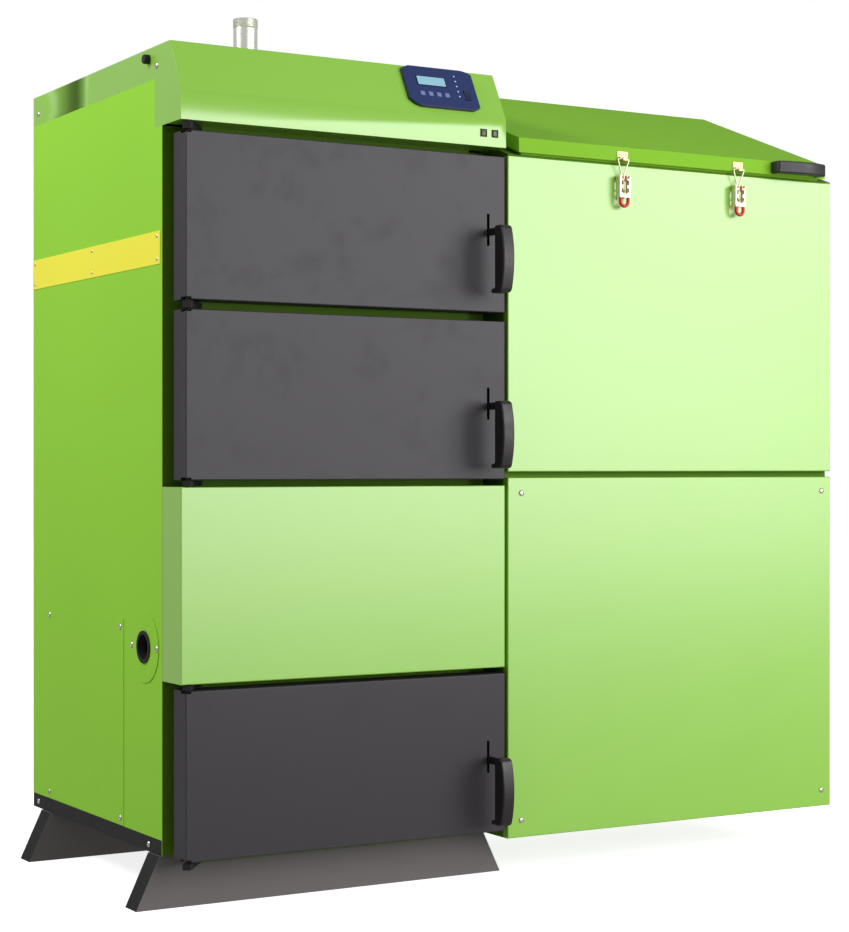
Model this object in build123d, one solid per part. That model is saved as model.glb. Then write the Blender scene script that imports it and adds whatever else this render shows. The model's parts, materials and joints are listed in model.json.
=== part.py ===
from build123d import *
import os
from math import atan2, cos, degrees, hypot, radians, tan

os.makedirs("parts", exist_ok=True)

# Pellet boiler with a side hopper. Millimetres, X right along the front, Y back, Z up.
# While it is modelled, X = 0 is the left side panel, Y = 0 the door fronts and Z = 0 the floor.

# Boiler jacket
body_width = 589.0
body_rear = 650.0
side_front = 72.0
sheet = 1.5
insulation = 40.0
weld_gap = 0.3
skin_gap = 0.6

# Heights of the stack from the floor up
foot_height = 83.0
door_3_height = 263.0
cover_gap_low = 10.0
cover_height = 303.0
cover_gap_high = 10.5
door_2_height = 263.0
door_gap = 14.5
door_1_height = 260.0
fascia_gap = 15.0
fascia_height = 47.0
console_rise = 81.0
console_run = 43.0
skirt_depth = 51.0
skirt_front = 101.0

# Welded body
shell_wall = 4.0
fire_wall = 6.0
water_gap = 45.0
frame_front = 54.0
frame_thick = 8.0
frame_lip = 12.0
door_lap = 35.0
gas_pass = 120.0
shelf_height = 35.0
shelf_pass = 63.0

# Doors
door_left = 8.0
door_right = 587.0
door_depth = 46.0
notch_width = 9.0
notch_depth = 20.0
notch_height = 4.0
pad_margin = 12.0
pad_left = 60.0
pad_right = 529.0
inner_plate = 3.0
shield_clear = 12.0
shield_reach = 38.0
rope_offset = 8.0
rope_width = 14.0
rope_clear = 0.3

# Door hinges
hinge_x = 16.0
hinge_y = 9.0
hinge_pin = 4.0
pin_clear = 0.05
lug_eye = 7.5
lug_clear = 1.5
lug_bar = 12.0
pin_reach = 22.0
bore_extra = 3.0
block_width = 18.0
block_depth = 21.5
block_height = 30.0

# Door levers
lever_x = 554.0
lever_thick = 4.0
slot_width = 4.6
slot_height = 53.0
slot_drop = 22.0
slot_from_top = (97.0, 111.0, 111.0)
lever_pivot_y = 26.0
lever_pin = 4.0
arm_height = 12.0
ear_thick = 3.0
ear_gap = 5.5
keeper_y = 60.0
hook_clear = 0.3
hook_wall = 4.7
keeper_pin = 4.0
grip_width = 22.0
grip_top = 8.0
grip_length = 111.0
grip_near = 36.0
grip_far = 56.0
grip_bulge = 9.0
grip_foot = 11.0
grip_corner = 9.0
grip_round = 3.0
grip_inner_round = 2.5
grip_wall = 8.0

# Burner, feeder and blower
feed_y = 141.0
feed_z = 404.5
tube_radius = 44.5
tube_wall = 4.0
tube_end = 1100.0
screw_radius = 38.0
screw_pitch = 76.0
screw_shaft = 12.0
flight_thick = 5.0
pot_radius = 50.0
pot_rim = 72.0
pot_bore = 38.0
pot_wall = 10.0
pot_top = 590.0
air_holes = 12
air_hole = 4.0
box_width = 190.0
box_depth = 154.0
box_low = 455.0
box_height = 93.0
duct_size = 60.0
duct_z = 492.0
duct_wall = 3.0
port_margin = 8.0
flange_margin = 6.5
fan_x = 700.0
fan_radius = 83.0
impeller_radius = 55.0
impeller_width = 40.0
fan_blades = 12
fan_eye = 35.0
motor_radius = 38.0
motor_length = 70.0
gearbox_size = 96.0
gearbox_length = 70.0
drive_motor_length = 80.0
pan_height = 70.0
pan_clear = 12.0

# Pipes
pipe_radius = 21.2
pipe_bore = 18.1
pipe_square = 80.0
flow_x = 300.0
flow_y = 400.0
flow_rise = 128.0
thread_length = 17.0
thread_rise = 0.7
thread_chamfer = 1.2
return_z = 185.0
return_reach = 50.0
drain_x = 150.0
drain_z = 135.0
drain_radius = 13.4
drain_bore = 10.6
drain_reach = 35.0
flue_radius = 80.0
flue_wall = 2.5
flue_step = 1.0
flue_z = 1165.0
flue_reach = 70.0

# Feet and rails
foot_splay = 42.0
foot_inset = 3.0
foot_y_front = 77.0
foot_y_rear = 557.0
foot_flange = 44.0
foot_sheet = 4.0
rail_height = 24.5
rail_sheet = 3.0
rail_width = 38.0

# Left side details
strip_low = 1007.0
strip_high = 1059.0
strip_sheet = 1.0
strip_front = 79.0
rivet_radius = 3.0
rivet_head = 1.2
rivet_inset = 12.0
plate_front = 227.0
plate_rear = 580.0
plate_low = 108.5
plate_high = 444.0
screw_inset = 14.0
disc_radius = 57.0
disc_sheet = 1.5
disc_screw = 50.0
ring_radius = 26.0
ring_bore = 20.0
ring_depth = 12.0
cap_y = 125.0
cap_z = 1333.0
cap_radius = 7.5
cap_reach = 10.0
screw_head = 5.0
screw_rise = 2.4
screw_shank = 2.4
screw_length = 17.0

# Control panel on the console slope, measured along the slope from the fascia edge
panel_left = 407.0
panel_right = 541.0
panel_low = 9.0
panel_high = 90.0
panel_thick = 6.0
panel_corner = 7.0
panel_sweep = 28.0
display_left = 431.0
display_right = 483.5
display_low = 51.5
display_high = 68.5
glass_proud = 0.6
key_count = 4
key_first = 434.7
key_pitch = 15.6
key_size = 8.0
key_low = 30.0
key_proud = 0.5
lamp_x = 505.0
lamp_low = 34.0
lamp_high = 75.0
lamp_count = 5
lamp_radius = 1.5
rocker_x = 521.0
rocker_low = 28.0
rocker_width = 11.0
rocker_length = 19.0
rocker_tilt = 14.0
rocker_clear = 0.4
button_first = 545.0
button_pitch = 22.0
button_height = 22.0
button_size = 12.5
button_clear = 0.3
button_reach = 4.0

# Hopper
hopper_gap = 4.0
hopper_width = 703.0
hopper_depth = 370.0
hopper_bottom = 69.0
hopper_front_top = 1212.0
lid_slope = 20.8
panel_split = 672.0
panel_split_gap = 10.0
tray_depth = 15.0
post_width = 45.0
rail_strip = 26.0
rim_width = 45.0
funnel_top = 900.0
funnel_mouth_low = 880.0
funnel_mouth_high = 1000.0
funnel_mouth_depth = 80.0
funnel_mouth_z = 470.0
funnel_sheet = 2.0
dome_inset_x = 26.5
dome_low = 29.0
dome_high = 26.0
stud_radius = 8.0
stud_screw = 4.0
stud_nut = 6.5
stud_reach = 12.0
stud_ys = (100.0, 330.0)
stud_zs = (160.0, 640.0, 1140.0)

# Lid
lid_inset = 18.0
lid_front = -6.0
lid_rear = 352.0
lid_gap = 6.5
lid_skirt = 24.5
lid_handle_x = 1206.0
lid_grip_near = 12.0
lid_grip_far = 22.0
lid_grip_foot = 11.0
lid_grip_corner = 6.0
seal_inset = 10.0
seal_width = 12.0
hinge_back = 4.5
hinge_up = 2.0
knuckle = 4.0
hinge_rod = 2.0
knuckle_length = 60.0
knuckle_count = 9

# Toggle latches
latch_xs = (822.5, 1074.5)
catch_width = 22.0
catch_height = 10.0
catch_sheet = 1.5
hook_width = 8.5
hook_reach = 10.0
hook_lip = 5.0
bar_room = 3.3
wire = 1.2
loop_width = 24.0
loop_neck = 6.0
loop_neck_drop = 25.0
loop_pivot_y = 5.2
loop_pivot_drop = 53.0
latch_pivot_y = 8.0
latch_pivot_drop = 33.0
latch_width = 22.0
latch_sheet = 1.4
latch_depth = 15.5
latch_height = 37.0
bail_wire = 1.8
bail_grip = 3.0
bail_drop = 15.0
base_width = 15.0
base_low = 36.0
base_sheet = 1.5
latch_slot = 9.6
latch_foot = 5.5


# Derived places
z_door_3 = foot_height
z_cover = z_door_3 + door_3_height + cover_gap_low
z_door_2 = z_cover + cover_height + cover_gap_high
z_door_1 = z_door_2 + door_2_height + door_gap
z_fascia = z_door_1 + door_1_height + fascia_gap
z_fascia_top = z_fascia + fascia_height
body_top = z_fascia_top + console_rise
z_skirt = body_top - skirt_depth
door_spans = (
    (z_door_1, z_door_1 + door_1_height),
    (z_door_2, z_door_2 + door_2_height),
    (z_door_3, z_door_3 + door_3_height),
)
mouths = tuple((low + door_lap, high - door_lap) for low, high in door_spans)
lever_zs = tuple(
    span[1] - drop - slot_height + slot_drop for span, drop in zip(door_spans, slot_from_top)
)

shell_x0 = insulation
shell_x1 = body_width - insulation
shell_y0 = frame_front + frame_thick
shell_y1 = body_rear - insulation - shell_wall
shell_z1 = body_top - insulation - shell_wall - sheet
jacket_wall = shell_wall + water_gap + fire_wall
fire_x0 = shell_x0 + jacket_wall
fire_x1 = shell_x1 - jacket_wall
fire_y1 = shell_y1 - jacket_wall
fire_z0 = mouths[2][0]
fire_z1 = shell_z1 - jacket_wall
rail_top = foot_height + rail_height
centre_x = body_width / 2

port = (
    feed_y - tube_radius - port_margin * 2,
    feed_y + tube_radius + port_margin * 2,
    feed_z - tube_radius - port_margin,
    duct_z + duct_size / 2 + port_margin,
)

hopper_x0 = body_width + hopper_gap
hopper_x1 = hopper_x0 + hopper_width
slope = tan(radians(lid_slope))
rim_drop = sheet / cos(radians(lid_slope))
lid_x0 = hopper_x0 + lid_inset
lid_x1 = hopper_x1 - lid_inset
hinge_line_y = lid_rear + hinge_back
lid_base = hopper_front_top + lid_gap
lid_hinge_z = lid_base + lid_rear * slope + hinge_up

parts = {}


def block(x0, x1, y0, y1, z0, z1):
    """A box between two corners."""
    return Pos((x0 + x1) / 2, (y0 + y1) / 2, (z0 + z1) / 2) * Box(x1 - x0, y1 - y0, z1 - z0)


def rod_x(radius, x0, x1, y, z):
    """A cylinder along X."""
    return Pos((x0 + x1) / 2, y, z) * Rot(0, 90, 0) * Cylinder(radius, x1 - x0)


def rod_y(radius, y0, y1, x, z):
    """A cylinder along Y."""
    return Pos(x, (y0 + y1) / 2, z) * Rot(90, 0, 0) * Cylinder(radius, y1 - y0)


def rod_z(radius, z0, z1, x, y):
    """A cylinder along Z."""
    return Pos(x, y, (z0 + z1) / 2) * Cylinder(radius, z1 - z0)


def slab_x(outline, x0, x1):
    """A side outline of (Y, Z) points, extruded from x0 to x1."""
    face = make_face(Polyline(*outline, close=True))
    return extrude(Plane.YZ.offset(x0) * face, x1 - x0)


def slab_y(outline, y0, y1):
    """A front outline of (X, Z) points, extruded from y0 to y1."""
    face = make_face(Polyline(*outline, close=True))
    return extrude(Plane.XZ.offset(-y0) * face, -(y1 - y0))


def keep(name, *solids):
    """Stores the solids of one named sub-part."""
    parts[name] = list(solids)


def boiler_body():
    """Outer shell, firebox and water shelves, as the plates they are welded from."""
    inner_y1 = shell_y1 - shell_wall
    side_x1 = shell_x1 - shell_wall
    port_y0, port_y1, port_z0, port_z1 = port
    port_hole = block(fire_x1 - 1, shell_x1 + 1, port_y0, port_y1, port_z0, port_z1)
    outer_left = block(shell_x0, shell_x0 + shell_wall, shell_y0, shell_y1, foot_height, shell_z1)
    outer_right = block(side_x1, shell_x1, shell_y0, shell_y1, foot_height, shell_z1) - port_hole
    outer_rear = block(shell_x0 + shell_wall, side_x1, inner_y1, shell_y1, foot_height, shell_z1)
    outer_rear -= rod_y(pipe_bore, inner_y1 - 1, shell_y1 + 1, centre_x, return_z)
    outer_rear -= rod_y(drain_bore, inner_y1 - 1, shell_y1 + 1, drain_x, drain_z)
    outer_rear -= rod_y(flue_radius - flue_step, inner_y1 - 1, shell_y1 + 1, centre_x, flue_z)
    outer_top = block(
        shell_x0 + shell_wall, side_x1, shell_y0, inner_y1, shell_z1 - shell_wall, shell_z1
    ) - rod_z(pipe_bore, shell_z1 - shell_wall - 1, shell_z1 + 1, flow_x, flow_y)
    outer_bottom = block(
        shell_x0 + shell_wall, side_x1, shell_y0, inner_y1, foot_height, foot_height + shell_wall
    )
    wall_z0 = fire_z0 - fire_wall
    wall_z1 = fire_z1 + fire_wall
    left = block(fire_x0 - fire_wall, fire_x0, shell_y0, fire_y1 + fire_wall, wall_z0, wall_z1)
    right = block(fire_x1, fire_x1 + fire_wall, shell_y0, fire_y1 + fire_wall, wall_z0, wall_z1)
    right -= port_hole
    rear = block(fire_x0, fire_x1, fire_y1, fire_y1 + fire_wall, wall_z0, wall_z1)
    rear -= rod_y(flue_radius - flue_step, fire_y1 - 1, fire_y1 + fire_wall + 1, centre_x, flue_z)
    floor = block(fire_x0, fire_x1, shell_y0, fire_y1, wall_z0, fire_z0)
    crown = block(fire_x0, fire_x1, shell_y0, fire_y1, fire_z1, wall_z1)
    sleeve = block(
        fire_x1 + fire_wall, side_x1, port_y0 - fire_wall, port_y1 + fire_wall,
        port_z0 - fire_wall, port_z1 + fire_wall,
    ) - port_hole
    low = mouths[0][0] + shelf_pass
    shelves = []
    for span in (
        (shell_y0, fire_y1 - gas_pass, mouths[1][1], mouths[0][0]),
        (shell_y0 + gas_pass, fire_y1, low, low + shelf_height),
    ):
        inside = shelf_water(*span)
        shelves.append(block(fire_x0, fire_x1, *span) - inside)
        left -= inside
        right -= inside
    keep(
        "boiler_body", outer_left, outer_right, outer_rear, outer_top, outer_bottom,
        left, right, rear, floor, crown, sleeve, *shelves,
    )


def shelf_water(y0, y1, z0, z1):
    """The water space of a flat shelf across the firebox, through both side walls."""
    wall = fire_wall
    return block(
        fire_x0 - wall - 1, fire_x1 + wall + 1, y0 + wall, y1 - wall, z0 + wall, z1 - wall
    )


def front_frame():
    """Flat bars welded round the three door mouths."""
    levels = [foot_height - frame_lip]
    for low, high in reversed(mouths):
        levels += [low, high]
    levels.append(shell_z1)
    bars = []
    for low, high in zip(levels[0::2], levels[1::2]):
        bars.append(block(shell_x0, shell_x1, frame_front, shell_y0, low, high))
    for low, high in mouths:
        bars.append(block(shell_x0, fire_x0, frame_front, shell_y0, low, high))
        bars.append(block(fire_x1, shell_x1, frame_front, shell_y0, low, high))
    keep("front_frame", *bars)


def side_panel(inner_x, outer_x, holes):
    """A jacket side: the sheet, its front return flange and its holes."""
    low_x, high_x = sorted((outer_x, inner_x))
    outline = [
        (side_front, rail_top), (body_rear, rail_top), (body_rear, z_skirt),
        (skirt_front, z_skirt), (skirt_front, z_fascia), (side_front, z_fascia),
    ]
    panel = slab_x(outline, low_x, high_x)
    edge = insulation - 2 * skin_gap
    flange_x0, flange_x1 = (0, edge) if outer_x == 0 else (body_width - edge, body_width)
    flange = block(flange_x0, flange_x1, side_front, side_front + sheet, foot_height, z_fascia)
    panel += flange
    for hole in holes:
        panel -= hole
    return panel


def jacket():
    """Side and rear sheets."""
    port_y0, port_y1, port_z0, port_z1 = port
    disc_hole = rod_x(ring_bore + 10, -1, sheet + 1, feed_y, feed_z)
    side_holes = [disc_hole]
    keep("side_panel_left", side_panel(sheet, 0, side_holes))
    inner = body_width - sheet
    right_holes = [block(inner - 1, body_width + 1, port_y0, port_y1, port_z0, port_z1)]
    for y in stud_ys:
        for z in stud_zs:
            right_holes.append(rod_x(stud_radius + weld_gap, inner - 1, body_width + 1, y, z))
    keep("side_panel_right", side_panel(inner, body_width, right_holes))
    rear = block(sheet, inner, body_rear - sheet, body_rear, foot_height, z_skirt)
    through = (body_rear - sheet - 1, body_rear + 1)
    rear -= rod_y(pipe_radius + skin_gap, *through, centre_x, return_z)
    rear -= rod_y(drain_radius + skin_gap, *through, drain_x, drain_z)
    rear -= rod_y(flue_radius + skin_gap, *through, centre_x, flue_z)
    keep("rear_panel", rear)


def top_cover():
    """Folded console and top cover: fascia, slope, top, rear lip and side skirts in one sheet."""
    outline = [
        (0, z_fascia), (0, z_fascia_top), (console_run, body_top), (body_rear, body_top),
        (body_rear, z_skirt), (skirt_front, z_skirt), (skirt_front, z_fascia),
    ]
    closed = [
        (0, z_fascia), (0, z_fascia_top), (console_run, body_top),
        (body_rear, body_top), (body_rear, z_fascia),
    ]
    inner = offset(make_face(Polyline(*closed, close=True)), -sheet, kind=Kind.INTERSECTION)
    cover = slab_x(outline, 0, body_width)
    cover -= extrude(Plane.YZ.offset(sheet) * inner, body_width - 2 * sheet)
    open_below = block(
        sheet, body_width - sheet, frame_front - weld_gap, body_rear - sheet,
        z_fascia - 1, z_fascia + sheet + 1,
    )
    cover -= open_below
    cover -= rod_z(pipe_radius + skin_gap, body_top - sheet - 1, body_top + 1, flow_x, flow_y)
    for x in button_places():
        half = button_size / 2 + button_clear
        z = z_fascia + button_height
        cover -= block(x - half, x + half, -1, sheet + 1, z - half, z + half)
    cover -= rod_x(screw_shank, -1, sheet + 1, cap_y, cap_z)
    keep("top_cover", *split_round_pipe(cover))


def split_round_pipe(cover):
    """The cover in five sheets that butt at a square round the flow pipe, so that each lifts off."""
    x0 = flow_x - pipe_square / 2
    x1 = flow_x + pipe_square / 2
    y0 = flow_y - pipe_square / 2
    y1 = flow_y + pipe_square / 2
    spans = [
        (-1, body_width + 1, -1, y0), (-1, body_width + 1, y1, body_rear + 1),
        (-1, x0, y0, y1), (x1, body_width + 1, y0, y1), (x0, x1, y0, y1),
    ]
    sheets = []
    for span in spans:
        sheets += (cover & block(*span, z_fascia - 1, body_top + 1)).solids()
    return sheets


def tray(x0, x1, depth, z0, z1, corner=2.0):
    """A folded sheet tray with its face at Y = 0, open at the back."""
    body = block(x0, x1, 0, depth, z0, z1)
    rounded = [e for e in body.edges() if abs(e.center().Y) < 0.01]
    body = fillet(rounded, corner)
    return body - block(x0 + sheet, x1 - sheet, sheet, depth + 1, z0 + sheet, z1 - sheet)


def burner_cover():
    """Cover over the burner front, deeper at its sides than at top and bottom."""
    x1 = door_right
    z1 = z_cover + cover_height
    cover = tray(0, x1, side_front, z_cover, z1)
    cover -= block(sheet, x1 - sheet, frame_front - weld_gap, side_front + 1, z_cover - 1, z1 + 1)
    keep("burner_cover", cover)


def feet():
    """Two bent-sheet feet: a trapezoid plate with a top flange and sloping end flanges."""
    solids = []
    for y in (foot_y_front, foot_y_rear):
        low_x1 = body_width - foot_inset + foot_splay - 2
        high_x1 = body_width - foot_inset
        outline = [
            (-foot_splay, 0), (low_x1, 0), (high_x1, foot_height), (-foot_inset, foot_height),
        ]
        whole = slab_y(outline, y, y + foot_flange)
        wall = foot_sheet * 1.1
        inside = [
            (wall - foot_splay, -1), (low_x1 - wall, -1),
            (high_x1 - wall, foot_height - foot_sheet), (wall - foot_inset, foot_height - foot_sheet),
        ]
        solids.append(whole - slab_y(inside, y + foot_sheet, y + foot_flange + 1))
    keep("feet", *solids)


def base_rails():
    """Channel rails under the side panels, along both sides."""
    solids = []
    for outer, inward in ((0, 1), (body_width, -1)):
        reach = outer + inward * rail_width
        web = outer + inward * rail_sheet
        x0, x1 = sorted((outer, reach))
        rail = block(x0, x1, side_front + sheet, body_rear - sheet, foot_height, rail_top)
        hollow_x0, hollow_x1 = sorted((web, reach + inward))
        rail -= block(
            hollow_x0, hollow_x1, 0, body_rear + 1, foot_height + rail_sheet, rail_top - rail_sheet
        )
        solids.append(rail)
    keep("base_rails", *solids)


def door_skin(index):
    """A door tray with notched hinge corners, the lever slot, hinge blocks and lever ears."""
    z0, z1 = door_spans[index]
    pivot_z = lever_zs[index]
    skin = tray(door_left, door_right, door_depth, z0, z1)
    for low in (z0, z1 - block_height):
        skin += block(
            door_left + sheet / 2, door_left + block_width, sheet / 2, block_depth,
            low + sheet / 2, low + block_height - sheet / 2,
        )
    for low, high in ((z1 - notch_height, z1 + 1), (z0 - 1, z0 + notch_height)):
        skin -= block(door_left - 1, door_left + notch_width, -1, notch_depth, low, high)
    bore = hinge_pin + pin_clear
    reach = pin_reach + bore_extra
    skin -= rod_z(bore, z0 - 1, z0 + reach, hinge_x, hinge_y)
    skin -= rod_z(bore, z1 - reach, z1 + 1, hinge_x, hinge_y)
    slot_z0 = pivot_z - slot_drop
    half = slot_width / 2
    skin -= block(lever_x - half, lever_x + half, -1, sheet + 1, slot_z0, slot_z0 + slot_height)
    inner = lever_thick / 2 + ear_gap
    for side in (-1, 1):
        ear_x0, ear_x1 = sorted((lever_x + side * inner, lever_x + side * (inner + ear_thick)))
        ear = block(ear_x0, ear_x1, sheet, lever_pivot_y, pivot_z - 9, pivot_z + 9)
        ear += rod_x(9, ear_x0, ear_x1, lever_pivot_y, pivot_z)
        skin += ear
        skin -= rod_x(lever_pin + pin_clear, ear_x0 - 1, ear_x1 + 1, lever_pivot_y, pivot_z)
    keep(f"door_{index + 1}_skin", skin)


def door_liner(index):
    """Insulation pad, inner plate, heat shield and rope seal of one door."""
    z0, z1 = door_spans[index]
    mouth_z0, mouth_z1 = mouths[index]
    pad_z0 = z0 + pad_margin
    pad_z1 = z1 - pad_margin
    plate_y0 = door_depth - inner_plate
    pad = block(pad_left, pad_right, sheet, plate_y0, pad_z0, pad_z1)
    plate = block(pad_left, pad_right, plate_y0, door_depth, pad_z0, pad_z1)
    shield = block(
        fire_x0 + shield_clear, fire_x1 - shield_clear, door_depth, door_depth + shield_reach,
        mouth_z0 + shield_clear, mouth_z1 - shield_clear,
    )
    outer = rope_offset + rope_width
    rope = block(
        fire_x0 - outer, fire_x1 + outer, door_depth, frame_front - rope_clear,
        mouth_z0 - outer, mouth_z1 + outer,
    ) - block(
        fire_x0 - rope_offset, fire_x1 + rope_offset, door_depth - 1, frame_front + 1,
        mouth_z0 - rope_offset, mouth_z1 + rope_offset,
    )
    keep(f"door_{index + 1}_liner", pad, plate, shield, rope)


def door_arm(index):
    """Flat lever with its pivot pin, and the hook that pulls on the keeper pin."""
    pivot_z = lever_zs[index]
    x0 = lever_x - lever_thick / 2
    x1 = lever_x + lever_thick / 2
    arm = arm_end(pivot_z)
    arm += rod_x(9, x0, x1, lever_pivot_y, pivot_z)
    inner_y = keeper_y + keeper_pin + hook_clear
    hook_top = pivot_z - keeper_pin - hook_clear
    arm += slab_x([
        (lever_pivot_y, pivot_z - 9), (lever_pivot_y + 8, pivot_z - 13),
        (inner_y + hook_wall, pivot_z - 13), (inner_y + hook_wall, pivot_z + 1),
        (inner_y + hook_wall - 1.5, pivot_z + 4), (inner_y, pivot_z + 4),
        (inner_y, hook_top), (lever_pivot_y, hook_top),
    ], x0, x1)
    reach = lever_thick / 2 + ear_gap + ear_thick + 1
    arm += rod_x(lever_pin, lever_x - reach, lever_x + reach, lever_pivot_y, pivot_z)
    keep(f"door_{index + 1}_arm", arm)


def bow(near, far, corner, inside):
    """A bow grip along Z that stands out towards -Y: its outer face swells between the ends.

    Distances run from Y = 0, heights from the level of the upper arm.
    """
    low = grip_top - grip_length
    top_corner = (far, grip_top)
    low_corner = (far, low)
    front = ThreePointArc(top_corner, (far + grip_bulge, (grip_top + low) / 2), low_corner)
    outline = make_face([front, Polyline(low_corner, *inside, top_corner)])
    outline = fillet([v for v in outline.vertices() if v.X > far - 0.1], corner)
    outline = fillet([v for v in outline.vertices() if v.X < near + 0.1], grip_inner_round)
    body = extrude(Plane.YZ.offset(-grip_width / 2) * mirror(outline, about=Plane.YZ), grip_width)
    sides = [e for e in body.edges() if abs(abs(e.center().X) - grip_width / 2) < 0.01]
    return fillet(sides, grip_round)


def door_grip(index):
    """Black bow on the lever, with a pocket for the lever's end."""
    pivot_z = lever_zs[index]
    low = grip_top - grip_length
    foot = grip_near - grip_foot
    inside = [(foot, low), (foot, low + 7), (grip_near, low + 9), (grip_near, grip_top)]
    grip = Pos(lever_x, 0, pivot_z) * bow(grip_near, grip_far, grip_corner, inside)
    keep(f"door_{index + 1}_grip", grip - arm_end(pivot_z))


def arm_end(pivot_z):
    """The straight bar of a lever, from inside its grip to its pivot."""
    half = lever_thick / 2
    return block(
        lever_x - half, lever_x + half, grip_wall - grip_far, lever_pivot_y,
        pivot_z - arm_height / 2, pivot_z + arm_height / 2,
    )


def hinge_lugs():
    """Lugs that stand in the gaps between the doors, each with its hinge pin."""
    solids = []
    gaps = [
        (z_door_1 + door_1_height, z_fascia, True, False),
        (z_door_2 + door_2_height, z_door_1, True, True),
        (z_cover + cover_height, z_door_2, False, True),
        (z_door_3 + door_3_height, z_cover, True, False),
        (foot_height - frame_lip, foot_height, False, True),
    ]
    for low, high, pin_down, pin_up in gaps:
        z0 = low + lug_clear
        z1 = high - lug_clear
        eye = Pos(hinge_x, hinge_y) * Circle(lug_eye)
        foot_x = shell_x0 + lug_bar
        run_x = foot_x - hinge_x
        run_y = frame_front - hinge_y
        middle = Pos(hinge_x + run_x / 2, hinge_y + run_y / 2)
        turn = Rot(0, 0, degrees(atan2(run_y, run_x)))
        bar = middle * turn * Rectangle(hypot(run_x, run_y) + 2 * lug_bar, lug_bar)
        outline = (eye + bar) - Pos(foot_x, 1.5 * frame_front) * Rectangle(8 * insulation, frame_front)
        lug = extrude(Pos(0, 0, z0) * outline, z1 - z0)
        pin_z0 = low - pin_reach if pin_down else z0
        pin_z1 = high + pin_reach if pin_up else z1
        lug += rod_z(hinge_pin, pin_z0, pin_z1, hinge_x, hinge_y)
        solids.append(lug)
    keep("hinge_lugs", *solids)


def door_keepers():
    """Keeper plates on the body's right side, each with the pin that a hook pulls on."""
    solids = []
    for pivot_z in lever_zs:
        x1 = lever_x - lever_thick / 2 - hook_clear
        keeper = block(shell_x1, x1, keeper_y - 6, keeper_y + 8, pivot_z - 14, pivot_z + 14)
        keeper += rod_x(keeper_pin, shell_x1, lever_x + 6, keeper_y, pivot_z)
        solids.append(keeper)
    keep("door_keepers", *solids)


def retort():
    """Cast burner pot: elbow, flared bowl, vertical bore and a ring of air holes."""
    wall = pot_radius - pot_bore
    low = feed_z - pot_radius - 2
    bowl_low = box_low + 15
    rim_low = pot_top - 30
    outer = [
        (0, low), (pot_radius, low), (pot_radius, bowl_low), (pot_rim, rim_low),
        (pot_rim, pot_top), (0, pot_top),
    ]
    inner = [
        (0, feed_z), (pot_bore, feed_z), (pot_bore, bowl_low), (pot_rim - wall, rim_low),
        (pot_rim - wall + 2, pot_top + 1), (0, pot_top + 1),
    ]
    pot = revolve(Plane.XZ * make_face(Polyline(*outer, close=True)), Axis.Z)
    bore = revolve(Plane.XZ * make_face(Polyline(*inner, close=True)), Axis.Z)
    place = Pos(centre_x, feed_y, 0)
    socket_end = centre_x + pot_radius + 2
    pot = place * pot + rod_x(pot_radius, centre_x, socket_end, feed_y, feed_z)
    pot -= place * bore
    pot -= rod_x(tube_radius - tube_wall, centre_x, socket_end + 1, feed_y, feed_z)
    hole_z = pot_top - 15
    for k in range(air_holes):
        turn = Rot(0, 0, 360 * k / air_holes)
        pot -= place * turn * rod_x(air_hole, pot_bore, pot_rim + 5, 0, hole_z)
    keep("retort", pot)
    return socket_end


def bowl_radius(z):
    """Outer radius of the flared bowl at a height."""
    low = box_low + 15
    high = pot_top - 30
    return pot_radius + (pot_rim - pot_radius) * (z - low) / (high - low)


def air_box():
    """Air box round the pot, with the square duct that leads to the blower."""
    x0 = centre_x - box_width / 2
    x1 = centre_x + box_width / 2
    y0 = feed_y - box_depth / 2
    y1 = feed_y + box_depth / 2
    z1 = box_low + box_height
    wall = duct_wall
    duct_end = fan_x - fan_radius
    half = duct_size / 2
    outer = block(x0, x1, y0, y1, box_low, z1)
    outer += block(x1 - 1, duct_end, feed_y - half, feed_y + half, duct_z - half, duct_z + half)
    inner = block(x0 + wall, x1 - wall, y0 + wall, y1 - wall, box_low + wall, z1 - wall)
    inner += block(
        x1 - wall - 1, duct_end + 1, feed_y - half + wall, feed_y + half - wall,
        duct_z - half + wall, duct_z + half - wall,
    )
    body = outer - inner
    body -= rod_z(pot_radius + weld_gap, box_low - 1, box_low + wall + 1, centre_x, feed_y)
    body -= rod_z(bowl_radius(z1) + weld_gap, z1 - wall - 1, z1 + 1, centre_x, feed_y)
    keep("air_box", body)


def feeder_tube(socket_end):
    """Auger tube with the flange on the boiler body and the chute under the hopper."""
    port_y0, port_y1, port_z0, port_z1 = port
    margin = flange_margin
    flange = block(
        shell_x1, shell_x1 + fire_wall, port_y0 - margin, port_y1 + margin,
        port_z0 - margin, port_z1 + margin,
    )
    half = duct_size / 2 + weld_gap
    flange -= block(
        shell_x1 - 1, shell_x1 + fire_wall + 1, feed_y - half, feed_y + half,
        duct_z - half, duct_z + half,
    )
    flange -= rod_x(tube_radius, shell_x1 - 1, shell_x1 + fire_wall + 1, feed_y, feed_z)
    inside = tube_radius - tube_wall
    inner_y = inside - 4
    solids = [flange]
    for x0, x1 in (
        (socket_end, funnel_mouth_low), (funnel_mouth_low, funnel_mouth_high),
        (funnel_mouth_high, tube_end),
    ):
        solids.append(
            rod_x(tube_radius, x0, x1, feed_y, feed_z) - rod_x(inside, x0 - 1, x1 + 1, feed_y, feed_z)
        )
    solids[2] -= block(
        funnel_mouth_low - 1, funnel_mouth_high + 1, feed_y - inner_y, feed_y + inner_y,
        feed_z, feed_z + tube_radius + 1,
    )
    keep("feeder_tube", *solids, *chute_plates(inner_y))


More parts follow.
